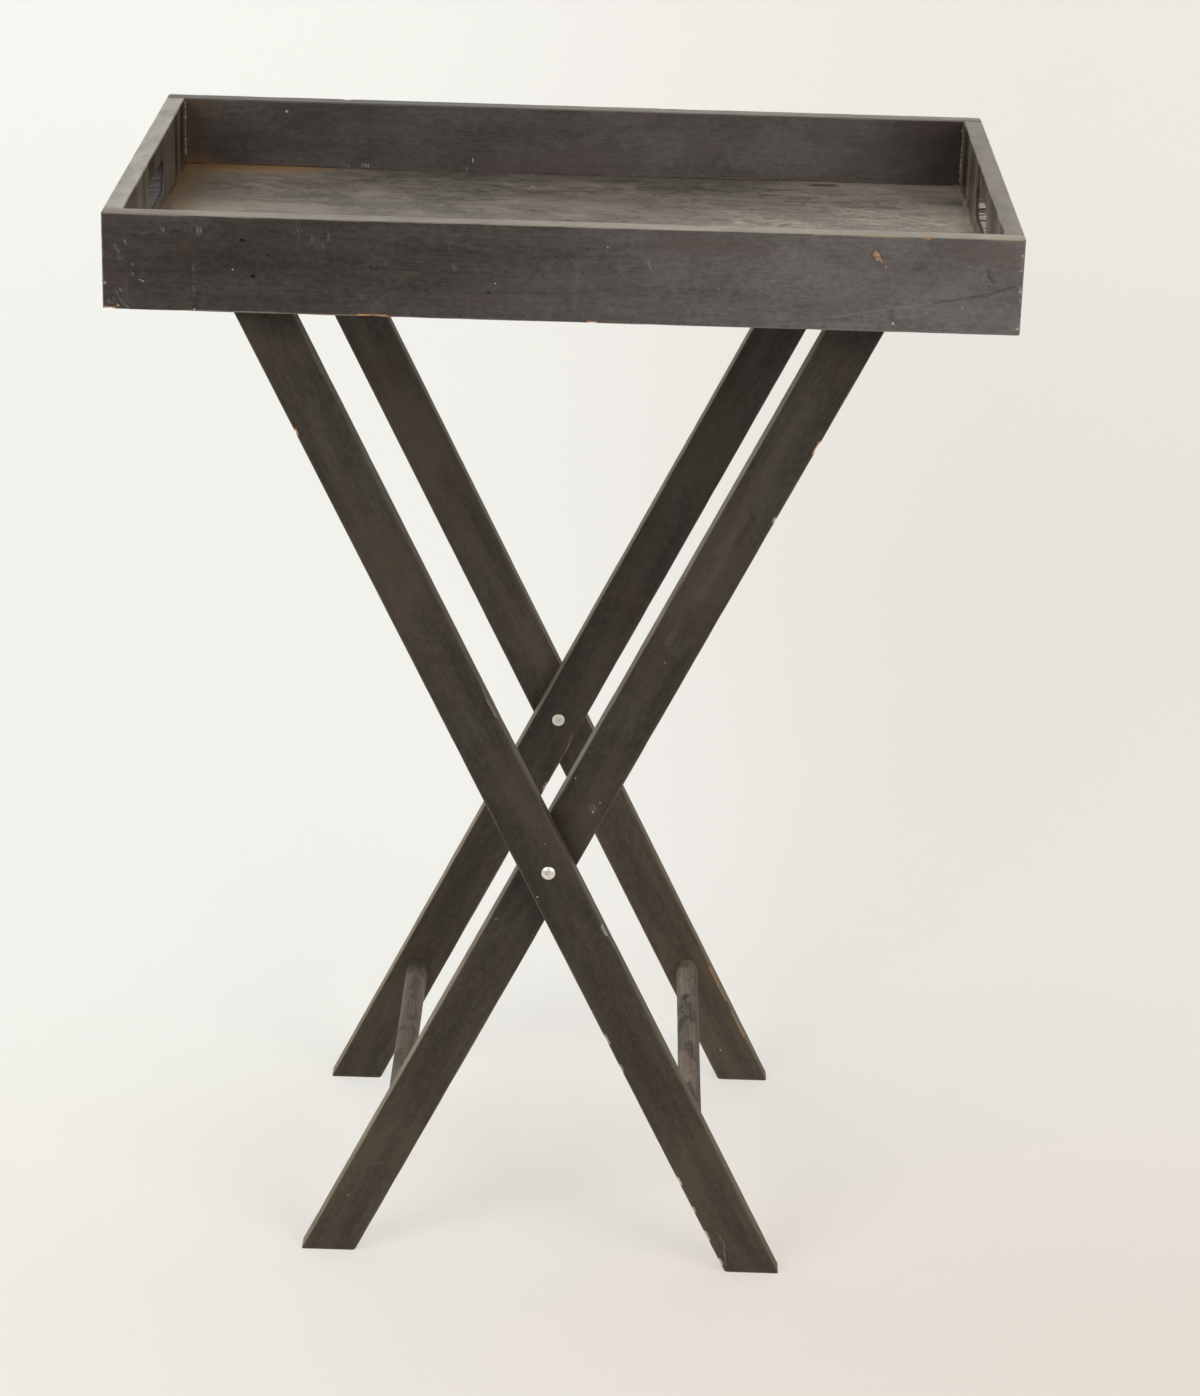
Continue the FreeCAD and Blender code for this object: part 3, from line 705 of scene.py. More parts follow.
def rubbed_through(noises):
    fine = noises.mottle * 0.4 + noises.speck * 0.35 + noises.fibre * 0.25
    return fine.fade(0.33, 0.67) * 0.55 + 0.72


def front_own(point, colour, rough, noises):
    x, y, z = point.axes()
    below_rim = z.fade(RIM_END, RIM_START)
    outside = y.fade(FRONT_FACE + 0.006, FRONT_FACE + 0.002) * below_rim
    # The face turns paler and greyer towards the right and a little towards the bottom.
    grey_right_and_low = x.fade(-0.17, 0.26) * (noises.patch.fade(0.2, 0.8) * 0.35 + 0.5) + 0.07
    grey_right_and_low = (grey_right_and_low + z.fade(0.842, 0.814) * 0.10) * (outside * 0.55 + 0.45 * below_rim)
    rubs = grain(point, (130, 1, 15), 3).fade(0.56, 0.74) * noises.cloud.fade(0.4, 0.6)
    cells = point.node("TexVoronoi", {"voronoi_dimensions": "2D"},
                       {"Vector": turned(point, (math.pi / 2, 0.0, 0.0)), "Scale": 52.0})
    # Pinholes and the two deep pits take the pit's near-black: dirt and painted shade in the hollows.
    pinholes = cells.fade(0.060, 0.028) * (cells.port("Color") * 1.0).fade(0.45, 0.6) * outside
    pit_tone = MARK_KINDS["pit"].tone
    colour = layered(
        scaled(colour, z.fade(RIM_START, RIM_END) * x.fade(-0.12, 0.12) * 0.42 + 1.0),
        (grey_right_and_low * rubbed_through(noises), (0.129, 0.1165, 0.112)),
        (rubs * 0.07, (0.20, 0.187, 0.172)),
        (pinholes * (x.fade(0.15, -0.10) * 0.55 + 0.15), pit_tone))
    colour = paint_marks(point, colour, front_marks, on_front, FACE_SPREAD)

    bare_arris = mark_on(point, on_front, (185.0, 884.8, 336.0, 884.8), 1.6, 0.3)
    left, right = (mark_on(point, on_front, spots, width, 0.1) for spots, width in HATCHED)
    hatch = left.most(right) * grain(point, (420, 40, 60), 2).fade(0.50, 0.64)
    torn = ragged(point, (0.0030, 0.0, 0.0030))
    head = mark_on(torn, on_front, CHIP_HEAD + CHIP_NECK, 3.0, 0.6)
    burnt = mark_on(torn, on_front, CHIP_HEAD + CHIP_NECK, 4.2, 0.5)
    tail = mark_on(torn, on_front, CHIP_NECK + CHIP_TAIL, 1.0, 0.2)
    bare = head.most(tail * noises.mottle.fade(0.46, 0.56) * 0.7)
    raw_tone = blend(noises.mottle.fade(0.38, 0.6), (0.12, 0.070, 0.038), (0.35, 0.215, 0.120))
    first, second = (mark_on(torn, on_front, spots, 1.6, 0.6) for spots in PITS)
    holes = second.most(first)
    colour = layered(
        colour,
        (bare_arris * noises.patch.fade(0.40, 0.58) * 0.5, (0.33, 0.25, 0.17)),
        (hatch * 0.4, (0.20, 0.19, 0.18)),
        (burnt * 0.6, (0.030, 0.018, 0.011)),
        (bare, raw_tone),
        (holes, pit_tone))
    return colour, rough + bare * 0.3 - grey_right_and_low * 0.05 + holes * 0.6


front_finish = stained("front_wall_stain", front_board, front_chips, 0.3, Rim(1.2, 1, RIM_ROUGH),
                       own=front_own)

# %% Front wall
DENT_STEPS = 4
DENTS = ((-236.1, 866.9, 1.4, 1.2), (-228.3, 840.1, 1.4, 1.2), (*CHIP_HEAD, 3.6, 0.6),
         (315.0, 856.0, 4.0, 0.3))


def press_dent(bm, middle, radius, depth):
    near = [f for f in bm.faces if f.normal.y < -0.9 and abs(f.calc_center_median().x - middle.x)
            < radius + CUT_PITCH and f.calc_area() > 1e-6]
    geometry = list({g for f in near for g in (*f.verts, *f.edges, f)})
    for axis in (Vector((1, 0, 0)), Vector((0, 0, 1))):
        for step in range(-DENT_STEPS, DENT_STEPS + 1):
            place = middle + axis * radius * step / DENT_STEPS
            geometry = slice_mesh(bm, place, axis, geometry)
    for vert in verts_in(geometry):
        share = (vert.co - middle).length / radius
        if share < 1.0:
            vert.co.y += depth * (1.0 - share * share)


bm = planed_board(front_board, WALL_ARRIS, FRONT)
wear(bm, front_board, WALL_SCRAPE, front_chips)
for x, z, radius, depth in DENTS:
    press_dent(bm, on_front(x * MM, z * MM), radius * MM, depth * MM)
add_piece("front_wall", bm, front_finish, "tray", "tray_wood", "tray_front_wall")

# %% Back wall
INNER_BACK = back_board.middle.y - back_board.half.y
FLOOR_TOP = 0.830
OLD_WAX = (0.085, 0.050, 0.024)
on_back = upright_face(INNER_BACK)
back_chips = chips_from([(REAR, UPPER, "raw", [(-190, 10, 0.5), (75, 7, 0.5)]),
                         (REAR, LOWER, "raw", [(240, 16, 0.8)])])
back_marks = [("fleck", [(-239.9, 876.2, 1.6, 0.75), (-84, 841, -83.8, 838.5, 0.9, 0.6),
                         (-88.9, 833, -88.9, 831.2, 0.7, 0.45)]),
              ("scuff", [(-176, 832.5, -170, 832.5, 3, 0.7),
                         (-190, 831.5, -188, 831.5, 2.5, 0.6)])]


def wax_line(point, patch, reach=0.0055):
    z = point.axes()[2]
    line = (z.fade(FLOOR_TOP + reach, FLOOR_TOP) * 0.75 + patch * 0.6).fade(0.62, 0.98)
    return line * z.fade(FLOOR_TOP - 0.001, FLOOR_TOP)


def back_own(point, colour, rough, noises):
    x, y, z = point.axes()
    cloud, patch = noises.cloud, noises.patch
    inside = y.fade(INNER_BACK + 0.006, INNER_BACK + 0.002)
    film_and_shade = (x.fade(-0.32, 0.22) * 0.45 + 0.42) * (patch.fade(0.3, 0.7) * 0.4 + 0.65)
    # Towards the right corner the film thins out: part of the painted shade there.
    film_and_shade = film_and_shade * (1.0 - x.fade(0.06, 0.20) * 0.08) * (1.0 - x.fade(0.20, 0.325) * 0.7)
    low_corner = [on_back(x_end, FLOOR_TOP) for x_end in (-0.325, -0.305)]
    rusty = stroke(ragged(point, (0.016, 0.0, 0.016), 90.0), low_corner, 0.015, 0.0)
    top = z.fade(RIM_START, RIM_END)
    colour = layered(
        colour,
        (film_and_shade * inside * rubbed_through(noises), (0.113, 0.099, 0.092)),
        (cloud.fade(0.50, 0.64) * x.fade(0.22, 0.02) * inside * 0.45, (0.072, 0.046, 0.044)),
        (wax_line(point, patch) * (x.fade(-0.17, -0.29) * 0.55 + 0.06), OLD_WAX),
        (x.fade(-0.285, -0.325) * patch.fade(0.35, 0.6) * inside * 0.6, OLD_WAX),
        (rusty * inside * 0.75, (0.150, 0.078, 0.032)),
        # Painted shade in the inner corner by the right end.
        (x.fade(0.255, 0.325) * inside * 0.55, (0.034, 0.020, 0.016)),
        (top * x.fade(0.10, -0.15) * 0.72, (0.030, 0.027, 0.024)))
    return paint_marks(point, colour, back_marks, on_back, FACE_SPREAD), rough


back_finish = stained("back_wall_stain", back_board, back_chips, 0.22, Rim(1.14, 1, RIM_ROUGH),
                      own=back_own)
bm = planed_board(back_board, WALL_ARRIS, REAR)
wear(bm, back_board, WALL_SCRAPE, back_chips)
add_piece("back_wall", bm, back_finish, "tray", "tray_wood", "tray_back_wall")

# %% [markdown]
# ## End walls with hand holes
# Each short wall has a slot to lift the tray by. A boolean would leave long thin triangles round the
# slot, so the outline and the slot are drawn as two closed loops, filled between, inset for a clean
# border and drawn out to the board's thickness. The slot's sill was left from the saw, so its edge
# is drawn with small steps.

# %% End walls
HOLE_LOW, HOLE_HIGH, HOLE_HALF = 0.840, 0.868, 0.050
HOLE_RADIUS = (HOLE_HIGH - HOLE_LOW) / 2
SILL_STEPS, ARC_STEPS = 48, 16
SAW_WANDER, SAW_STEP = 0.00022, 0.00016
OUTLINE_STEPS = (96, 18, 96, 18)


def closed_loop(bm, points):
    verts = [bm.verts.new(p) for p in points]
    return [bm.edges.new((a, b)) for a, b in zip(verts, verts[1:] + verts[:1])]


def along_line(start, end, count):
    return [Vector(start).lerp(Vector(end), i / count) for i in range(count)]


def slot_loop(board, seed):
    centre = (HOLE_LOW + HOLE_HIGH) / 2 - board.middle.z
    reach = HOLE_HALF - HOLE_RADIUS
    points = []
    for i in range(SILL_STEPS):
        saw = SAW_WANDER * noise.noise((i * 0.83, seed, 0.0)) + (0.0 if i % 3 else SAW_STEP)
        points.append(Vector((-reach + 2 * reach * i / SILL_STEPS, 0.0, centre - HOLE_RADIUS - saw)))
    for side, start in ((1, -90.0), (-1, 90.0)):
        for i in range(ARC_STEPS):
            turn = math.radians(start + 180.0 * i / ARC_STEPS)
            points.append(Vector((side * reach + HOLE_RADIUS * math.cos(turn), 0.0,
                                  centre + HOLE_RADIUS * math.sin(turn))))
        if side == 1:
            points += along_line((reach, 0.0, centre + HOLE_RADIUS),
                                 (-reach, 0.0, centre + HOLE_RADIUS), ARC_STEPS)
    return points


def end_wall(board, seed):
    bm = bmesh.new()
    x, y, z = board.half
    corners = [(-x, 0.0, -z), (x, 0.0, -z), (x, 0.0, z), (-x, 0.0, z)]
    outline = [p for a, b, n in zip(corners, corners[1:] + corners[:1], OUTLINE_STEPS)
               for p in along_line(a, b, n)]
    edges = closed_loop(bm, outline) + closed_loop(bm, slot_loop(board, seed))
    faces = [g for g in bmesh.ops.triangle_fill(bm, edges=edges, use_beauty=True)["geom"]
             if isinstance(g, bmesh.types.BMFace)]
    bmesh.ops.recalc_face_normals(bm, faces=faces)
    bmesh.ops.inset_region(bm, faces=faces, thickness=EDGE_LINES[0], use_boundary=True,
                           use_even_offset=True)
    drawn = bmesh.ops.extrude_face_region(bm, geom=bm.faces[:], use_keep_orig=True)["geom"]
    shift(bm, (0.0, 2 * y, 0.0), verts_in(drawn))
    shift(bm, (0.0, -y, 0.0))
    face_outwards(bm)
    round_edges(bm, WALL_ARRIS, sharp_edges(bm, 1.2))
    put_in_place(bm, board)
    wear(bm, board, WALL_SCRAPE)
    return bm


print("hand holes:", round(HOLE_HALF * 2 / MM), "x", round(HOLE_RADIUS * 2 / MM), "mm")

# %% End wall finish
INNER_END, OUTER_END = 0.325, 0.340
SLOT_SHADE = (0.034, 0.028, 0.026)
EndLook = namedtuple("EndLook", "side light sawn greasy rim")
# The left end's rim is painted much paler and cooler than the other rims: a painted reflection.
LEFT_LOOK = EndLook(-1, 0.62, (0.085, 0.081, 0.076), 0.75, Rim(2.02, 1, 0.4, (0.96, 1.0, 1.08)))
RIGHT_LOOK = EndLook(1, 1.0, (0.40, 0.345, 0.275), 0.0, Rim(1.16, 1, RIM_ROUGH))


def end_own(look):
    def own(point, colour, rough, noises):
        x, y, z = point.axes()
        out = x * look.side
        inside = out.fade(INNER_END + 0.0014, INNER_END + 0.0004)
        runs = grain(point, (40, 30, 4), 3, 0.3)
        bare_tone = blend(runs.fade(0.38, 0.54), lighter((0.190, 0.154, 0.112), look.light),
                          lighter((0.085, 0.069, 0.053), look.light))
        in_slot = (abs(y).fade(HOLE_HALF + 0.0005, HOLE_HALF - 0.0002)
                   * z.fade(HOLE_LOW - 0.0012, HOLE_LOW - 0.0004)
                   * z.fade(HOLE_HIGH + 0.0012, HOLE_HIGH + 0.0004)
                   * out.fade(INNER_END + 0.0002, INNER_END + 0.0010)
                   * out.fade(OUTER_END - 0.0004, OUTER_END - 0.0012))
        teeth = grain(point, (30, 260, 420), 2)
        # Deeper in the slot its sides turn darker, and its upper half is near black: painted shade in the
        # hand hole.
        sawn = layered(
            blend(teeth.fade(0.48, 0.60), look.sawn, (0.030, 0.026, 0.023)),
            (out.fade(INNER_END + 0.0040, INNER_END + 0.0026), (0.024, 0.020, 0.018)),
            (z.fade(0.847, 0.854) * 0.8, SLOT_SHADE))
        streaks = grain(point, (120, 36, 30), 2).fade(0.48, 0.70)
        colour = layered(
            colour,
            (inside * 0.88, bare_tone),
            (inside * runs.fade(0.48, 0.60) * 0.85, (0.013, 0.0105, 0.009)),
            (wax_line(point, noises.patch, 0.009) * 0.7, OLD_WAX))
        if look.greasy:
            greasy = y.fade(0.120, 0.190) * runs.fade(0.56, 0.44) * inside
            colour = blend(greasy * look.greasy, colour, (0.125, 0.080, 0.045))
        colour = layered(
            colour,
            (in_slot * 0.95, sawn),
            (z.fade(RIM_START, RIM_END) * streaks * 0.4, (0.105, 0.094, 0.082)))
        return colour, rough + in_slot * 0.5

    return own


for name, node, look in (("left_end", "tray_left_end", LEFT_LOOK),
                         ("right_end", "tray_right_end", RIGHT_LOOK)):
    board = tray_board(node, ALONG_Y)
    finish = stained(name + "_stain", board, (), 0.3, look.rim, own=end_own(look))
    add_piece(name, end_wall(board, look.side * 3.7), finish, "tray", "tray_wood", node)

# %% [markdown]
# ## Tray floor
# A thin panel let into grooves. Years of glasses have scuffed the stain to a grey-brown cloud, and
# wax and dirt have gathered along its edges. It is darker by the back wall and paler towards the
# front and the ends. It gets a fine grid so that its surface can wander by a hair, as a thin panel does.

# %% Tray floor marks and noises
FLOOR_HALF = Vector((0.3248, 0.1923, 0.003))
FLOOR_UNDER = 0.824
FLOOR_SPREAD = (0.0060, 0.0060, 0.0)
floor_marks = [
    ("raw", [(-31.7, 144.7, 3.6, 0.9)]),
    ("scuff", [(12, 112, 34, 115, 13, 0.6), (104, 102, 116, 100, 18, 0.6)]),
    ("smear", [(128, 131, 140, 132, 11, 0.7), (205, 120, 235, 110, 14, 0.6),
               (-190, 75, -120, 60, 18, 0.6)]),
    ("fleck", [(134.5, 43.1, 137, 43.1, 2.4, 0.8)]),
    ("scuff", [(255, 80, 275, 60, 14, 0.5), (-235, -30, -205, -70, 16, 0.5)]),
    ("dark", [(159, 59.1, 161.5, 59.1, 5, 0.8), (170, 38.8, 176, 39.2, 5, 0.7),
              (160, 158, 183, 160, 2.8, 0.9), (158, 139, 172, 140, 2.6, 0.8),
              (202, 180, 217, 181, 10, 0.8), (-200, 165, -100, 172, 12, 0.25),
              (60, 150, 110, 155, 16, 0.4), (-30, 112, 60, 104, 26, 0.35)]),
]


def on_floor(x, y):
    return Vector((x, y, FLOOR_TOP))


finish, point = new_finish("floor_scuffed")
x, y, z = point.axes()
cloud = grain(point, (8, 11, 11), 5, 0.7)
smudge = grain(point, (26, 34, 34), 5, 1)
fine = grain(point, (150, 200, 200), 4)
fibre = grain(point, (22, 700, 700), 2)
speck = grain(point, (420, 420, 420), 2)
drawn_out = grain(point, (14, 95, 95), 3, 0.5)
blots = grain(point, (62, 80, 80), 4, 0.8)
wisps = grain(turned(point, (0, 0, 0.5)), (24, 120, 120), 3, 0.9)
rings = grain(point, (15, 19, 19), 2, 2.5)
print("floor marks:", sum(len(rows) for _, rows in floor_marks))

# %% Tray floor finish
# Paler towards the front and the ends, most of all on the right.
paler_front_and_ends = abs(x + 0.02).fade(0.05, 0.22) * 0.32 + x.fade(0.08, 0.20) * 0.40 + 0.06
middle_run = x.fade(-0.2, -0.1) * (1.0 - x.fade(0.12, 0.22)) * 0.5 + 0.05
edge_gap = (FLOOR_HALF.x - abs(x)).least(FLOOR_HALF.y - abs(y))
dirt = (edge_gap.fade(0.018, 0.0) * 0.7 + smudge * 0.65).fade(0.62, 1.0)
corner = stroke(ragged(point, (0.03, 0.03, 0.0), 45.0),
                [on_floor(x_end, 0.1925) for x_end in (-0.325, -0.230)], 0.042, 0.0)
left_run = (x.fade(-0.270, -0.322) * 0.8 + blots * 0.6).fade(0.55, 1.0)
far = y.fade(0.13, 0.18) * abs(x).fade(0.12, 0.22)
brown_left = blend(x.fade(-0.22, -0.31), NO_TINT, (0.95, 0.90, 0.80))
tone = smudge * 0.18 + blots * 0.11 + fine * 0.19 + fibre * 0.18 + speck * 0.14 + drawn_out * 0.20
colour = layered(
    blend(tone.fade(0.43, 0.57), (0.080, 0.069, 0.059), (0.178, 0.154, 0.129)),
    (wisps.fade(0.54, 0.66) * cloud.fade(0.40, 0.55) * 0.34, (0.33, 0.295, 0.245)),
    (blots.fade(0.44, 0.34) * 0.17, (0.040, 0.033, 0.027)),
    (cloud.fade(0.50, 0.68) * 0.55, (0.25, 0.214, 0.172)),
    (cloud.fade(0.46, 0.32) * 0.4, (0.080, 0.070, 0.062)),
    (smudge.fade(0.58, 0.72) * 0.30, (0.29, 0.257, 0.218)))
colour = layered(
    scaled(colour, y.fade(0.150, 0.040) * paler_front_and_ends + 1.0),
    (y.fade(0.150, 0.192) * middle_run, (0.055, 0.048, 0.043)),
    (y.fade(0.110, 0.170) * abs(x).fade(0.14, 0.24) * 0.35, (0.215, 0.182, 0.150)),
    (abs(rings - 0.5).fade(0.012, 0.0) * smudge.fade(0.42, 0.6) * 0.35, (0.33, 0.30, 0.26)),
    (dirt * (x.fade(-0.10, -0.28) * 0.75 + 0.22), OLD_WAX),
    (corner * 0.9, (0.225, 0.122, 0.048)),
    (left_run * 0.75, (0.160, 0.105, 0.058)))
colour = scaled(colour, x.fade(0.08, 0.22) * 0.28 + far * 0.36 + 0.97)
colour = vector_sum("MULTIPLY", colour, brown_left)
colour = paint_marks(point, colour, floor_marks, on_floor, FLOOR_SPREAD)
under = z.fade(FLOOR_TOP - 0.0025, FLOOR_TOP - 0.0035)
under_tone = blend(tone.fade(0.3, 0.7), (0.045, 0.036, 0.029), (0.085, 0.068, 0.053))
floor_finish = lay_on(finish, blend(under, colour, under_tone),
                      0.32 + cloud * 0.12 + fine * 0.10 + dirt * 0.12,
                      fibre * 0.4 + fine * 0.4 + smudge * 0.2)

# %% Tray floor
HOLLOW = 0.00035
FLOOR_STEPS = (96, 56)

bm = bmesh.new()
bmesh.ops.create_grid(bm, x_segments=FLOOR_STEPS[0], y_segments=FLOOR_STEPS[1], size=1.0)
bmesh.ops.scale(bm, vec=(FLOOR_HALF.x, FLOOR_HALF.y, 1.0), verts=bm.verts[:])
for vert in bm.verts:
    hollow = HOLLOW * (0.5 + noise.noise((vert.co.x * 9.0, vert.co.y * 12.0, 2.0)))
    vert.co.z = FLOOR_TOP - max(0.0, hollow)
drawn = bmesh.ops.extrude_face_region(bm, geom=bm.faces[:], use_keep_orig=True)["geom"]
for vert in verts_in(drawn):
    vert.co.z = FLOOR_UNDER
face_outwards(bm)
add_piece("floor_panel", bm, floor_finish, "tray", "floor_wood", "tray_floor")

# %% [markdown]
# ## Glue in the corners
# Where the floor meets the walls, and up the inside corners, old glue and wax have set in a thin
# uneven fillet. It could be painted on, but it catches the light, so it is a bead of its own: a
# grid wrapped into the corner, its size wandering along the run.

# %% Glue beads
WALL_X, WALL_Y, WALL_TOP = 0.325, 0.1925, 0.8825
LONG_BEAD, SHORT_BEAD, CORNER_BEAD = 0.0013, 0.0019, 0.0015
BEAD_STEPS, BEAD_SIDES = 120, 4
UP = (0.0, 0.0, 1.0)


def bead(bm, start, end, first, second, size, seed):
    made = bmesh.ops.create_grid(bm, x_segments=BEAD_STEPS, y_segments=BEAD_SIDES, size=1.0)["verts"]
    start, end, first, second = (Vector(v) for v in (start, end, first, second))
    for vert in made:
        share, turn = vert.co.x / 2 + 0.5, (vert.co.y + 1) * math.pi / 4
        wander = 0.55 + 0.9 * noise.noise((share * 26.0, seed, 0.0))
        wander += 0.5 * noise.noise((share * 90.0, seed, 3.0))
        reach = size * max(0.12, wander)
        vert.co = (start.lerp(end, share) + first * reach * (1 - math.sin(turn))
                   + second * reach * (1 - math.cos(turn)))


bm = bmesh.new()
for side in (-1, 1):
    bead(bm, (-WALL_X, side * WALL_Y, FLOOR_TOP), (WALL_X, side * WALL_Y, FLOOR_TOP),
         (0.0, -side, 0.0), UP, LONG_BEAD, 3.1 * side)
    bead(bm, (side * WALL_X, -WALL_Y, FLOOR_TOP), (side * WALL_X, WALL_Y, FLOOR_TOP),
         (-side, 0.0, 0.0), UP, SHORT_BEAD, 7.7 * side)
    for end in (-1, 1):
        bead(bm, (side * WALL_X, end * WALL_Y, FLOOR_TOP), (side * WALL_X, end * WALL_Y, WALL_TOP),
             (-side, 0.0, 0.0), (0.0, -end, 0.0), CORNER_BEAD, 5.3 * side + end)
middle = Vector((0.0, 0.0, (FLOOR_TOP + WALL_TOP) / 2))
for face in bm.faces:
    face.normal_update()
    if face.normal.dot(middle - face.calc_center_median()) < 0.0:
        face.normal_flip()

finish, point = new_finish("old_glue")
x, y, z = point.axes()
cloud = grain(point, (24, 24, 24), 3)
fine = grain(point, (300, 300, 300), 3)
amber = fine.fade(0.52, 0.62) * x.fade(0.0, 0.05) * 0.4
amber = amber.most(x.fade(-0.20, -0.30) * cloud.fade(0.42, 0.58) * 0.5)
upright = z.fade(FLOOR_TOP + 0.004, FLOOR_TOP + 0.012)
right_run = x.fade(0.315, 0.323) * cloud.fade(0.35, 0.5)
# On the left the upright glue is tan, painted brighter as a painted highlight.
pale = blend(x.fade(-0.1, 0.1), (0.42, 0.285, 0.170), (0.25, 0.215, 0.175))
colour = layered(
    blend(cloud.fade(0.4, 0.6), (0.026, 0.019, 0.014), (0.060, 0.042, 0.027)),
    (amber, (0.150, 0.092, 0.048)),
    (upright.most(right_run) * 0.8, blend(fine.fade(0.4, 0.6), (0.13, 0.100, 0.072), pale)))
lay_on(finish, colour, 0.36 + fine * 0.25, fine, 0.3, 0.0003)
add_piece("glue_beads", bm, finish, "tray", "tray_wood")

# %% [markdown]
# ## Legs
# Four leaning boards, cut level at the foot and under the tray. Each starts as a longer box that is
# turned to its lean and trimmed by two level planes. The feet have lost their corners, and the
# arrises carry the chips that the photo shows.

# %% Leg meshes
LEG_ARRIS, LEG_SCRAPE, FOOT_ROUND = 0.0008, 0.0003, 0.0028
SPARE_LENGTH = 0.04


def leg(board, chips):
    bm = cut_box(board.half, SPARE_LENGTH)
    edge_cuts(bm, board.half)
    put_in_place(bm, board)
    for level, up in zip(board.ends, (-1.0, 1.0)):
        slice_mesh(bm, (0.0, 0.0, level), (0.0, 0.0, up), clear_outer=True)
        bmesh.ops.holes_fill(bm, edges=[e for e in bm.edges if e.is_boundary], sides=0)
    heading = (place_of(board).to_3x3() @ Vector((1.0, 0.0, 0.0))).normalized()
    cross_cuts(bm, heading, board.half.x * 2)
    foot = [e for e in sharp_edges(bm) if all(v.co.z < 1e-5 for v in e.verts)
            and abs(e.verts[0].co.y - e.verts[1].co.y) > 0.01]
    round_edges(bm, FOOT_ROUND, foot)
    round_edges(bm, LEG_ARRIS, sharp_edges(bm, 0.7))
    wear(bm, board, LEG_SCRAPE, chips)
    for vert in bm.verts:
        vert.co.z = min(max(vert.co.z, board.ends[0]), board.ends[1])
    return bm


print("leg arris:", LEG_ARRIS * 1000, "mm, foot corners:", FOOT_ROUND * 1000, "mm")

# %% Leg chips and marks
leg_chips = {
    "outer_leg_front": [(FRONT, LOWER, "raw", [(721.7, 4, 0.9)]), (FRONT, UPPER, "pale", [(298, 8, 0.4)]),
                        (FRONT, LOWER, "pale", [(218.6, 8, 0.4), (193, 6, 0.3), (92, 6, 0.3),
                                                (66, 3, 0.3), (42, 8, 0.3), (18, 5, 0.3)])],
    "inner_leg_front": [(FRONT, LOWER, "raw", [(716, 11, 1.0)]), (FRONT, LOWER, "pale", [(657, 2, 0.3)]),
                        (FRONT, UPPER, "brown", [(585, 14, 0.6)])],
    "inner_leg_back": [(FRONT, LOWER, "pale", [(300, 6, 0.3)]), (REAR, UPPER, "brown", [(610, 10, 0.3)])],
    "outer_leg_back": [(FRONT, UPPER, "raw", [(82, 26, 1.4), (48, 30, 1.4), (98, 14, 0.8)]),
                       (FRONT, UPPER, "brown", [(150, 12, 0.5)]), (REAR, LOWER, "raw", [(450, 12, 1.0)])]}
leg_marks = {
    "outer_leg_front": [
        ("fleck", [(-8.5, 333.9, 0.9, 0.7), (-3.2, 379.9, 0.6, 0.6), (-28.5, 326.5, 0.7, 0.6)]),
        ("splinter", [(-54.2, 510.2, -50.9, 500.3, 1, 0.6), (-50.9, 500.3, -43.3, 486.4, 1.2, 0.8)]),
        ("dark", [(-52.2, 499, -45, 485, 1.2, 0.8)]),
        ("scratch", [(151.5, 30, 154, 6, 0.8, 0.35)]),
        ("warm", [(-130, 610, 20, 0.3), (-118, 570, 16, 0.3), (-30, 430, 24, 0.25)]),
        ("smear", [(-186, 735, -172, 700, 14, 0.08)]),
        ("rub", [(148, 35, 154, 8, 3, 0.30)])],
    "inner_leg_front": [
        ("fleck", [(19.3, 429.8, 0.7, 0.6), (39.2, 409.1, 0.8, 0.6), (33.9, 401.2, 1, 0.7),
                   (86.6, 528.9, 0.7, 0.6), (-41.3, 305.7, 0.7, 0.6), (-159, 51.6, 0.8, 0.6)]),
        ("smear", [(145, 648, 128, 622, 8, 0.15), (128, 614, 112, 585, 8, 0.15),
                   (92, 553, 88, 545, 5, 0.15), (105, 548, 98, 535, 4.5, 0.12),
                   (-140, 82, -131, 82, 3, 0.18), (190, 740, 150, 660, 18, 0.10)]),
        ("dark", [(150, 650, 138, 628, 5, 0.4)]),
        ("warm", [(20, 400, 22, 0.3), (110, 560, 18, 0.25)]),
        ("scuff", [(34, 404, 6, 0.4)])],
    "inner_leg_back": [
        ("splinter", [(12.3, 340.9, 6.6, 321.8, 0.8, 0.5)]),
        ("warm", [(60, 470, 22, 0.4)]),
        ("smear", [(-150, 60, -125, 105, 12, 0.06)])],
    "outer_leg_back": [
        ("fleck", [(154.3, 29.7, 0.9, 0.8)]),
        ("warm", [(59.7, 212.4, 2, 0.9), (-150, 660, 22, 0.4), (-100, 560, 18, 0.4)])]}
print("leg chips:", sum(len(rows) for groups in leg_chips.values() for *_, rows in groups))

# %% Legs
LEG_TINT, LOW_LEG_TINT = (1.0, 1.02, 0.98), (1.25, 1.22, 1.10)
LEG_RIM_TINTS = {-1: (1.12, 1.0, 0.80), 1: (1.02, 1.0, 0.92)}


def leg_own(board, marks):
    on_face = upright_face(board.middle.y - board.half.y)

    def own(point, colour, rough, noises):
        lift = blend(point.axes()[2].fade(0.40, 0.12), NO_TINT, LOW_LEG_TINT)
        colour = vector_sum("MULTIPLY", colour, lift)
        return paint_marks(point, colour, marks, on_face, FACE_SPREAD), rough

    return own


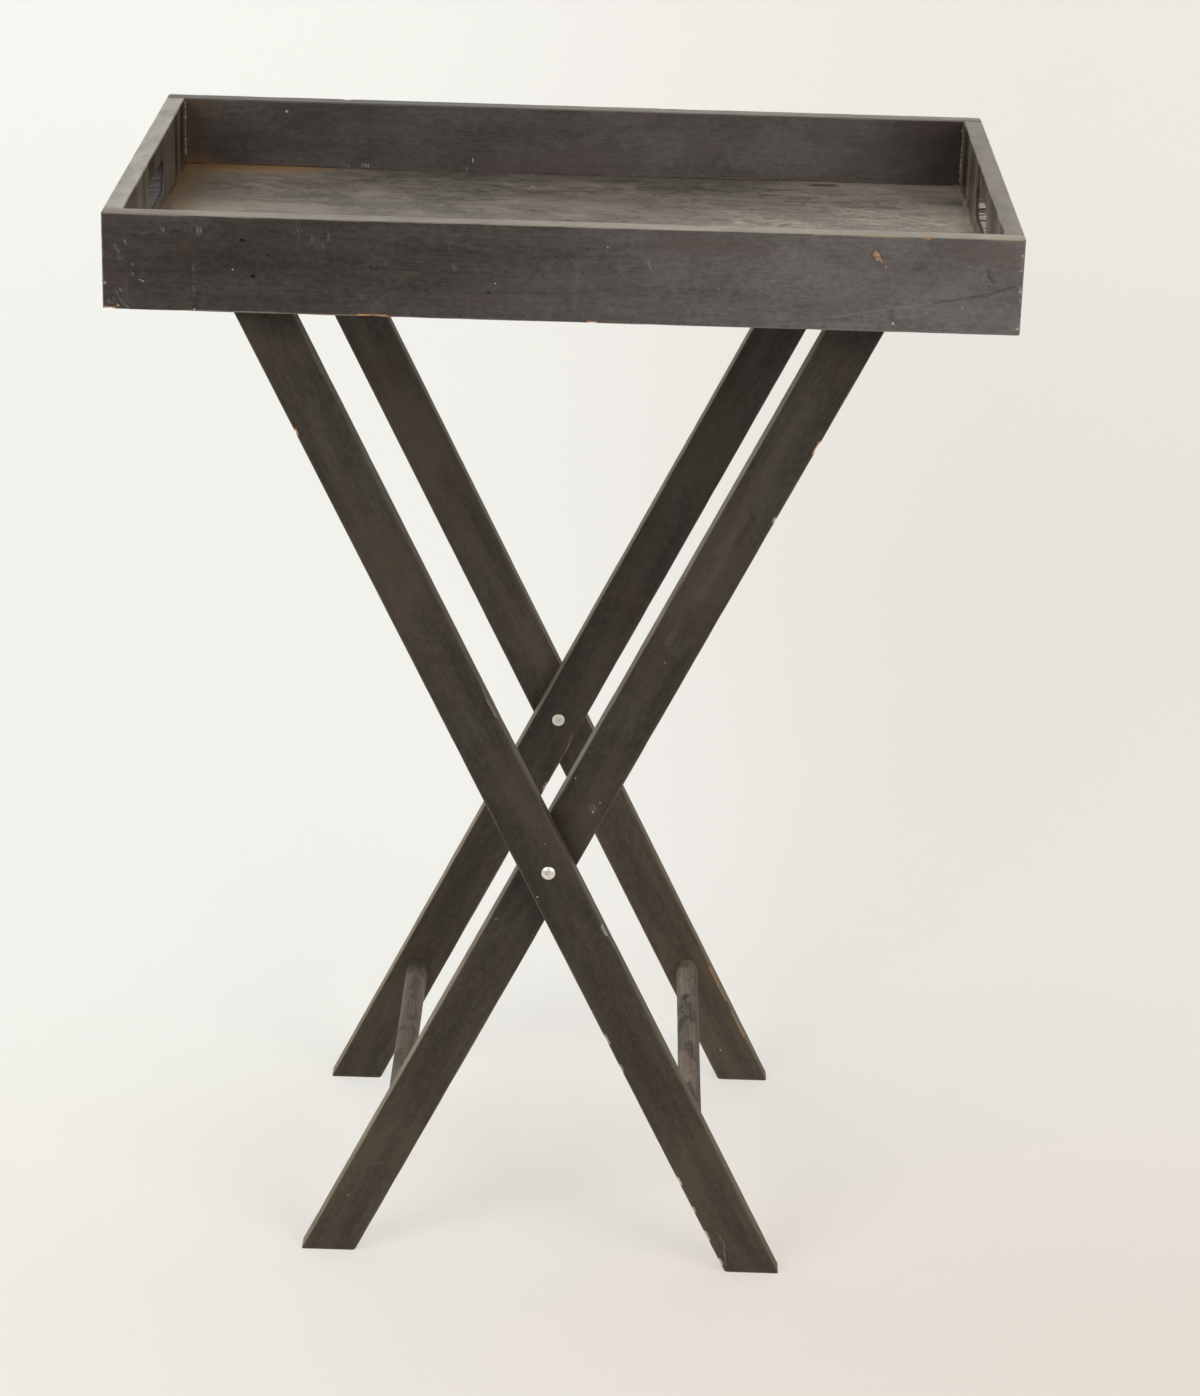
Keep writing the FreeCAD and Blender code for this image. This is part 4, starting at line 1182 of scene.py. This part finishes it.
# The legs share one stain. Their light factors make lit and shaded copies of it: the back outer leg's 1.75
# is painted light, and the narrow faces that turn up and right on the outer legs (0.37, 0.43) are painted
# shade.
for name, lean, light, bare, body, node in (
        ("outer_leg_front", -1, 1.26, 0.37, "outer_frame", "outer_front_leg"),
        ("inner_leg_front", 1, 1.22, 0.94, "inner_frame", "inner_front_leg"),
        ("inner_leg_back", 1, 1.10, 1.02, "inner_frame", "inner_back_leg"),
        ("outer_leg_back", -1, 1.75, 0.43, "outer_frame", "outer_back_leg")):
    board = leg_board(node, lean)
    chips = chips_from(leg_chips[name], lambda z: (z * 2 / LEG_TOP - 1) * board.half.x, lean)
    finish = stained(name + "_stain", board, chips, 0.2, Rim(bare, lean, 0.6, LEG_RIM_TINTS[lean]),
                     BROWN_CAST, light, LEG_TINT, dull=0.34, edge_wear=0.28,
                     own=leg_own(board, leg_marks[name]), spread=0.24, specular=0.25)
    add_piece(name, leg(board, chips), finish, body, "leg_wood", node)

# %% [markdown]
# ## Round rails
# Four dowels tie the legs into two frames. Feet and hands have worn the lower ones back to a
# grey-tan in long patches. A plain cylinder has too true a side, so the rail is cut into rings and
# each ring wanders a little. Dark and tan patches are listed from the rail's middle, in millimetres.

# %% Rail finish
def worn_rail(name, middle, wear_start, contrast, tan_patches, dark_patches):
    finish, point = new_finish(name)
    figure = grain(point, (90, 7, 90), 4, 0.5)
    fibre = grain(point, (1100, 30, 1100), 2)
    patch = grain(point, (45, 24, 45), 4, 0.8)
    rubbed = patch.fade(wear_start, wear_start + 0.08)
    threads = fibre.fade(0.3, 0.7)
    stain = blend(threads, (0.030, 0.024, 0.020), (0.085, 0.068, 0.053))
    tan = blend(figure.fade(0.3, 0.7), (0.20, 0.157, 0.117), (0.31, 0.252, 0.196))
    colour = layered(
        blend((figure * 0.6 + fibre * 0.4).fade(0.32, 0.7), (0.048, 0.040, 0.032), (0.122, 0.100, 0.078)),
        (rubbed * 0.8 * contrast, blend(threads, (0.125, 0.099, 0.076), (0.205, 0.166, 0.128))),
        (patch.fade(0.42, 0.34) * 0.5 * contrast, (0.036, 0.030, 0.026)))
    torn = ragged(point, (0.007, 0.022, 0.007), 150.0)
    for patches, strength, tone in ((dark_patches, 0.75, stain), (tan_patches, 0.8, tan)):
        for *spots, radius in patches:
            ends = [middle + Vector(spot) * MM for spot in (spots[:3], spots[3:])]
            colour = blend(stroke(torn, ends, radius * MM, 0.4) * strength, colour, tone)
    scrapes = grain(turned(point, (0.6, 0, 0.3)), (60, 700, 60), 2).fade(0.60, 0.70)
    rings = grain(point, (3, 420, 3), 1).fade(0.66, 0.74) * patch.fade(0.45, 0.6)
    colour = layered(colour,
                     (scrapes * rubbed * 0.4, (0.060, 0.050, 0.042)),
                     (rings * 0.3, (0.24, 0.21, 0.178)))
    return lay_on(finish, colour, 0.56 + patch * 0.16, fibre * 0.6 + patch * 0.4,
                  constants=(("Specular IOR Level", 0.22),))


# %% Rails
RAIL_RADIUS, RAIL_ROUND, RAIL_WANDER, RAIL_SIDES = 0.0095, 0.001, 0.012, 40
TAN_PATCHES = [(-6, -18, 7.4, -5, -72, 8.1, 6.5), (-4, 150, 8.6, -3, 100, 9.0, 5.4)]
DARK_PATCHES = [(1, 80, 9.4, 5, 46, 8.1, 6.0), (1, -2, 9.4, 3, -30, 9.0, 5.5),
                (-3, -78, 9.0, 2, -106, 9.3, 7.0), (8, 150, 5.0, 8, -150, 5.0, 4.5)]


def rail(node):
    low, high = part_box(node)
    middle = (low + high) / 2
    bm = bmesh.new()
    bmesh.ops.create_cone(bm, cap_ends=True, segments=RAIL_SIDES, radius1=RAIL_RADIUS,
                          radius2=RAIL_RADIUS, depth=high.y - low.y)
    cross_cuts(bm, Vector((0.0, 0.0, 1.0)), (high.y - low.y) / 2)
    round_edges(bm, RAIL_ROUND, sharp_edges(bm, 1.2), 2)
    for vert in bm.verts:
        wander = abs(noise.noise((vert.co.z * 30.0, middle.x * 9.0, middle.z * 5.0)))
        round_share = 1.0 - RAIL_WANDER * wander
        vert.co.x *= round_share
        vert.co.y *= round_share
    turn_about(bm, "X", math.pi / 2)
    shift(bm, middle)
    return bm, middle


for name, body, node, wear_start, contrast, *patches in (
        ("outer_rail_low", "outer_frame", "outer_lower_dowel", 0.44, 1.0, TAN_PATCHES, DARK_PATCHES),
        ("inner_rail_low", "inner_frame", "inner_lower_dowel", 0.46, 0.7, [], []),
        ("outer_rail_high", "outer_frame", "outer_upper_dowel", 0.56, 0.8, [], []),
        ("inner_rail_high", "inner_frame", "inner_upper_dowel", 0.56, 0.8, [], [])):
    bm, middle = rail(node)
    finish = worn_rail(name + "_worn", middle, wear_start, contrast, *patches)
    add_piece(name, bm, finish, body, "dowel_wood", node)

# %% [markdown]
# ## Pivots
# Each pair of legs turns on a sleeve with a low dome outside and a flat cross-headed screw inside.
# The metal is bright, with fine turning marks and a little grime, so roughness does more than
# colour here. The dome is a profile spun about the pivot. The screw head starts as a disc that is cut
# in a cross, and its edge is drawn out ring by ring.

# %% Pivot metal
CAP_NICK = [Vector((-0.0022, -0.1845, 0.3552)), Vector((-0.0008, -0.1848, 0.3548))]


def bright_metal(name, tone, dull, nick=None):
    finish, point = new_finish(name)
    brushed = grain(point, (1400, 300, 1400), 3)
    grime = grain(point, (330, 330, 330), 4)
    colour = layered(blend(brushed.fade(0.3, 0.7), lighter(tone, 0.86), tone),
                     (grime.fade(0.58, 0.76) * 0.35, (0.22, 0.20, 0.165)))
    if nick:
        colour = blend(stroke(point, nick, 0.0005, 0.3) * 0.85, colour, (0.10, 0.09, 0.075))
    return lay_on(finish, colour, dull + brushed * 0.12 + grime.fade(0.5, 0.7) * 0.12, brushed,
                  0.12, 0.0002, (("Metallic", 1.0),))


cap_metal = bright_metal("cap_metal", (1.0, 0.99, 0.91), 0.42, CAP_NICK)
screw_metal = bright_metal("screw_metal", (0.90, 0.88, 0.80), 0.44)
washer_metal = bright_metal("washer_metal", (0.42, 0.40, 0.36), 0.42)


def dress(finish, *nodes):
    for node in nodes:
        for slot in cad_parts[node].material_slots:
            slot.material = finish
        print(node, "dressed in", finish.name)


# %% Pivot caps
CAP_RADIUS, CAP_RIM, CAP_RISE, BARREL_RADIUS = 0.0055, 0.0008, 0.002, 0.004
CAP_STEPS, ROUND_STEPS = 9, 48


def pivot_cap(node, outward):
    low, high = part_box(node)
    base = low.y + CAP_RIM + CAP_RISE if outward < 0 else high.y - CAP_RIM - CAP_RISE
    inner = high.y if outward < 0 else low.y
    ball = (CAP_RADIUS ** 2 + CAP_RISE ** 2) / (2 * CAP_RISE)
    across = [CAP_RADIUS * i / CAP_STEPS for i in range(CAP_STEPS + 1)]
    rings = [(r, CAP_RIM + CAP_RISE - ball + math.sqrt(ball ** 2 - r ** 2)) for r in across]
    rings += [(CAP_RADIUS, CAP_RIM * 0.4), (CAP_RADIUS * 0.985, 0.0), (BARREL_RADIUS, 0.0),
              (BARREL_RADIUS, -abs(inner - base)), (0.0, -abs(inner - base))]
    bm = bmesh.new()
    verts = [bm.verts.new((r, base + outward * out, PIVOT_HEIGHT)) for r, out in rings]
    edges = [bm.edges.new(pair) for pair in zip(verts, verts[1:])]
    bmesh.ops.spin(bm, geom=verts + edges, cent=(0.0, base, PIVOT_HEIGHT), axis=(0.0, 1.0, 0.0),
                   angle=math.tau, steps=ROUND_STEPS, use_merge=True)
    bmesh.ops.remove_doubles(bm, verts=bm.verts[:], dist=1e-6)
    face_outwards(bm)
    return bm


for name, node, outward in (("front_cap", "front_pivot_sleeve", -1), ("back_cap", "back_pivot_sleeve", 1)):
    add_piece(name, pivot_cap(node, outward), cap_metal, "outer_frame", "pivot_steel", node)

# %% Pivot screws
CROSS_REACH, CROSS_HALF, CROSS_DEPTH = 0.0026, 0.00055, 0.0009
HEAD_HEIGHT, SHANK_RADIUS, HEAD_TURN = 0.0018, 0.002, 0.5
HEAD_RINGS = ((0.0034, 0.00125), (0.0040, 0.00140), (0.0045, 0.00170), (0.0049, 0.00180),
              (0.0053, 0.00155), (0.0055, 0.0010), (0.0055, 0.0))


def draw_ring(bm, edges, radius, height):
    drawn = bmesh.ops.extrude_edge_only(bm, edges=edges)["geom"]
    for vert in verts_in(drawn):
        vert.co.xy = vert.co.xy.normalized() * radius
        vert.co.z = height
    return [e for e in edges_in(drawn) if e.is_boundary]


def pivot_screw(node, outward):
    low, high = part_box(node)
    bm = bmesh.new()
    bmesh.ops.create_circle(bm, cap_ends=True, segments=ROUND_STEPS, radius=CROSS_REACH)
    shift(bm, (0.0, 0.0, HEAD_RINGS[0][1]))
    for axis in (Vector((1, 0, 0)), Vector((0, 1, 0))):
        for side in (-1, 1):
            slice_mesh(bm, axis * side * CROSS_HALF, axis, dist=1e-7)
    rim = [e for e in bm.edges if e.is_boundary]
    arms = [f for f in bm.faces if min(abs(v) for v in f.calc_center_median().xy) < CROSS_HALF]
    sunk = verts_in(bmesh.ops.extrude_face_region(bm, geom=arms)["geom"])
    bmesh.ops.delete(bm, geom=arms, context="FACES_ONLY")
    shift(bm, (0.0, 0.0, -CROSS_DEPTH), sunk)
    bmesh.ops.scale(bm, vec=(0.7, 0.7, 1.0), verts=sunk)
    shank = high.y - low.y - HEAD_HEIGHT
    for radius, height in HEAD_RINGS + ((SHANK_RADIUS, 0.0), (SHANK_RADIUS, -shank)):
        rim = draw_ring(bm, rim, radius, height)
    bmesh.ops.holes_fill(bm, edges=rim, sides=0)
    face_outwards(bm)
    base = high.y - HEAD_HEIGHT if outward > 0 else low.y + HEAD_HEIGHT
    turn_about(bm, "X", -outward * math.pi / 2)
    turn_about(bm, "Y", HEAD_TURN)
    shift(bm, (0.0, base, PIVOT_HEIGHT))
    return bm


for name, node, outward in (("front_screw", "front_pivot_screw", 1), ("back_screw", "back_pivot_screw", -1)):
    add_piece(name, pivot_screw(node, outward), screw_metal, "outer_frame", "screw_steel", node)
dress(screw_metal, "cleat_screws")
dress(washer_metal, "front_pivot_washer", "back_pivot_washer")

# %% [markdown]
# ## Under the tray
# Two battens under the floor stop the stand from spreading. They are plain planed boards with the
# same stain, so the tools for the walls make them too, and the hidden corner pegs share their finish.

# %% Battens
for name, node in (("left_batten", "tray_cleat_left"), ("right_batten", "tray_cleat_right")):
    board = tray_board(node, ALONG_Y)
    finish = stained(name + "_stain", board, (), 0.35)
    bm = planed_board(board, WALL_ARRIS)
    wear(bm, board, WALL_SCRAPE)
    add_piece(name, bm, finish, "tray", "cleat_wood", node)
dress(finish, "corner_pegs")
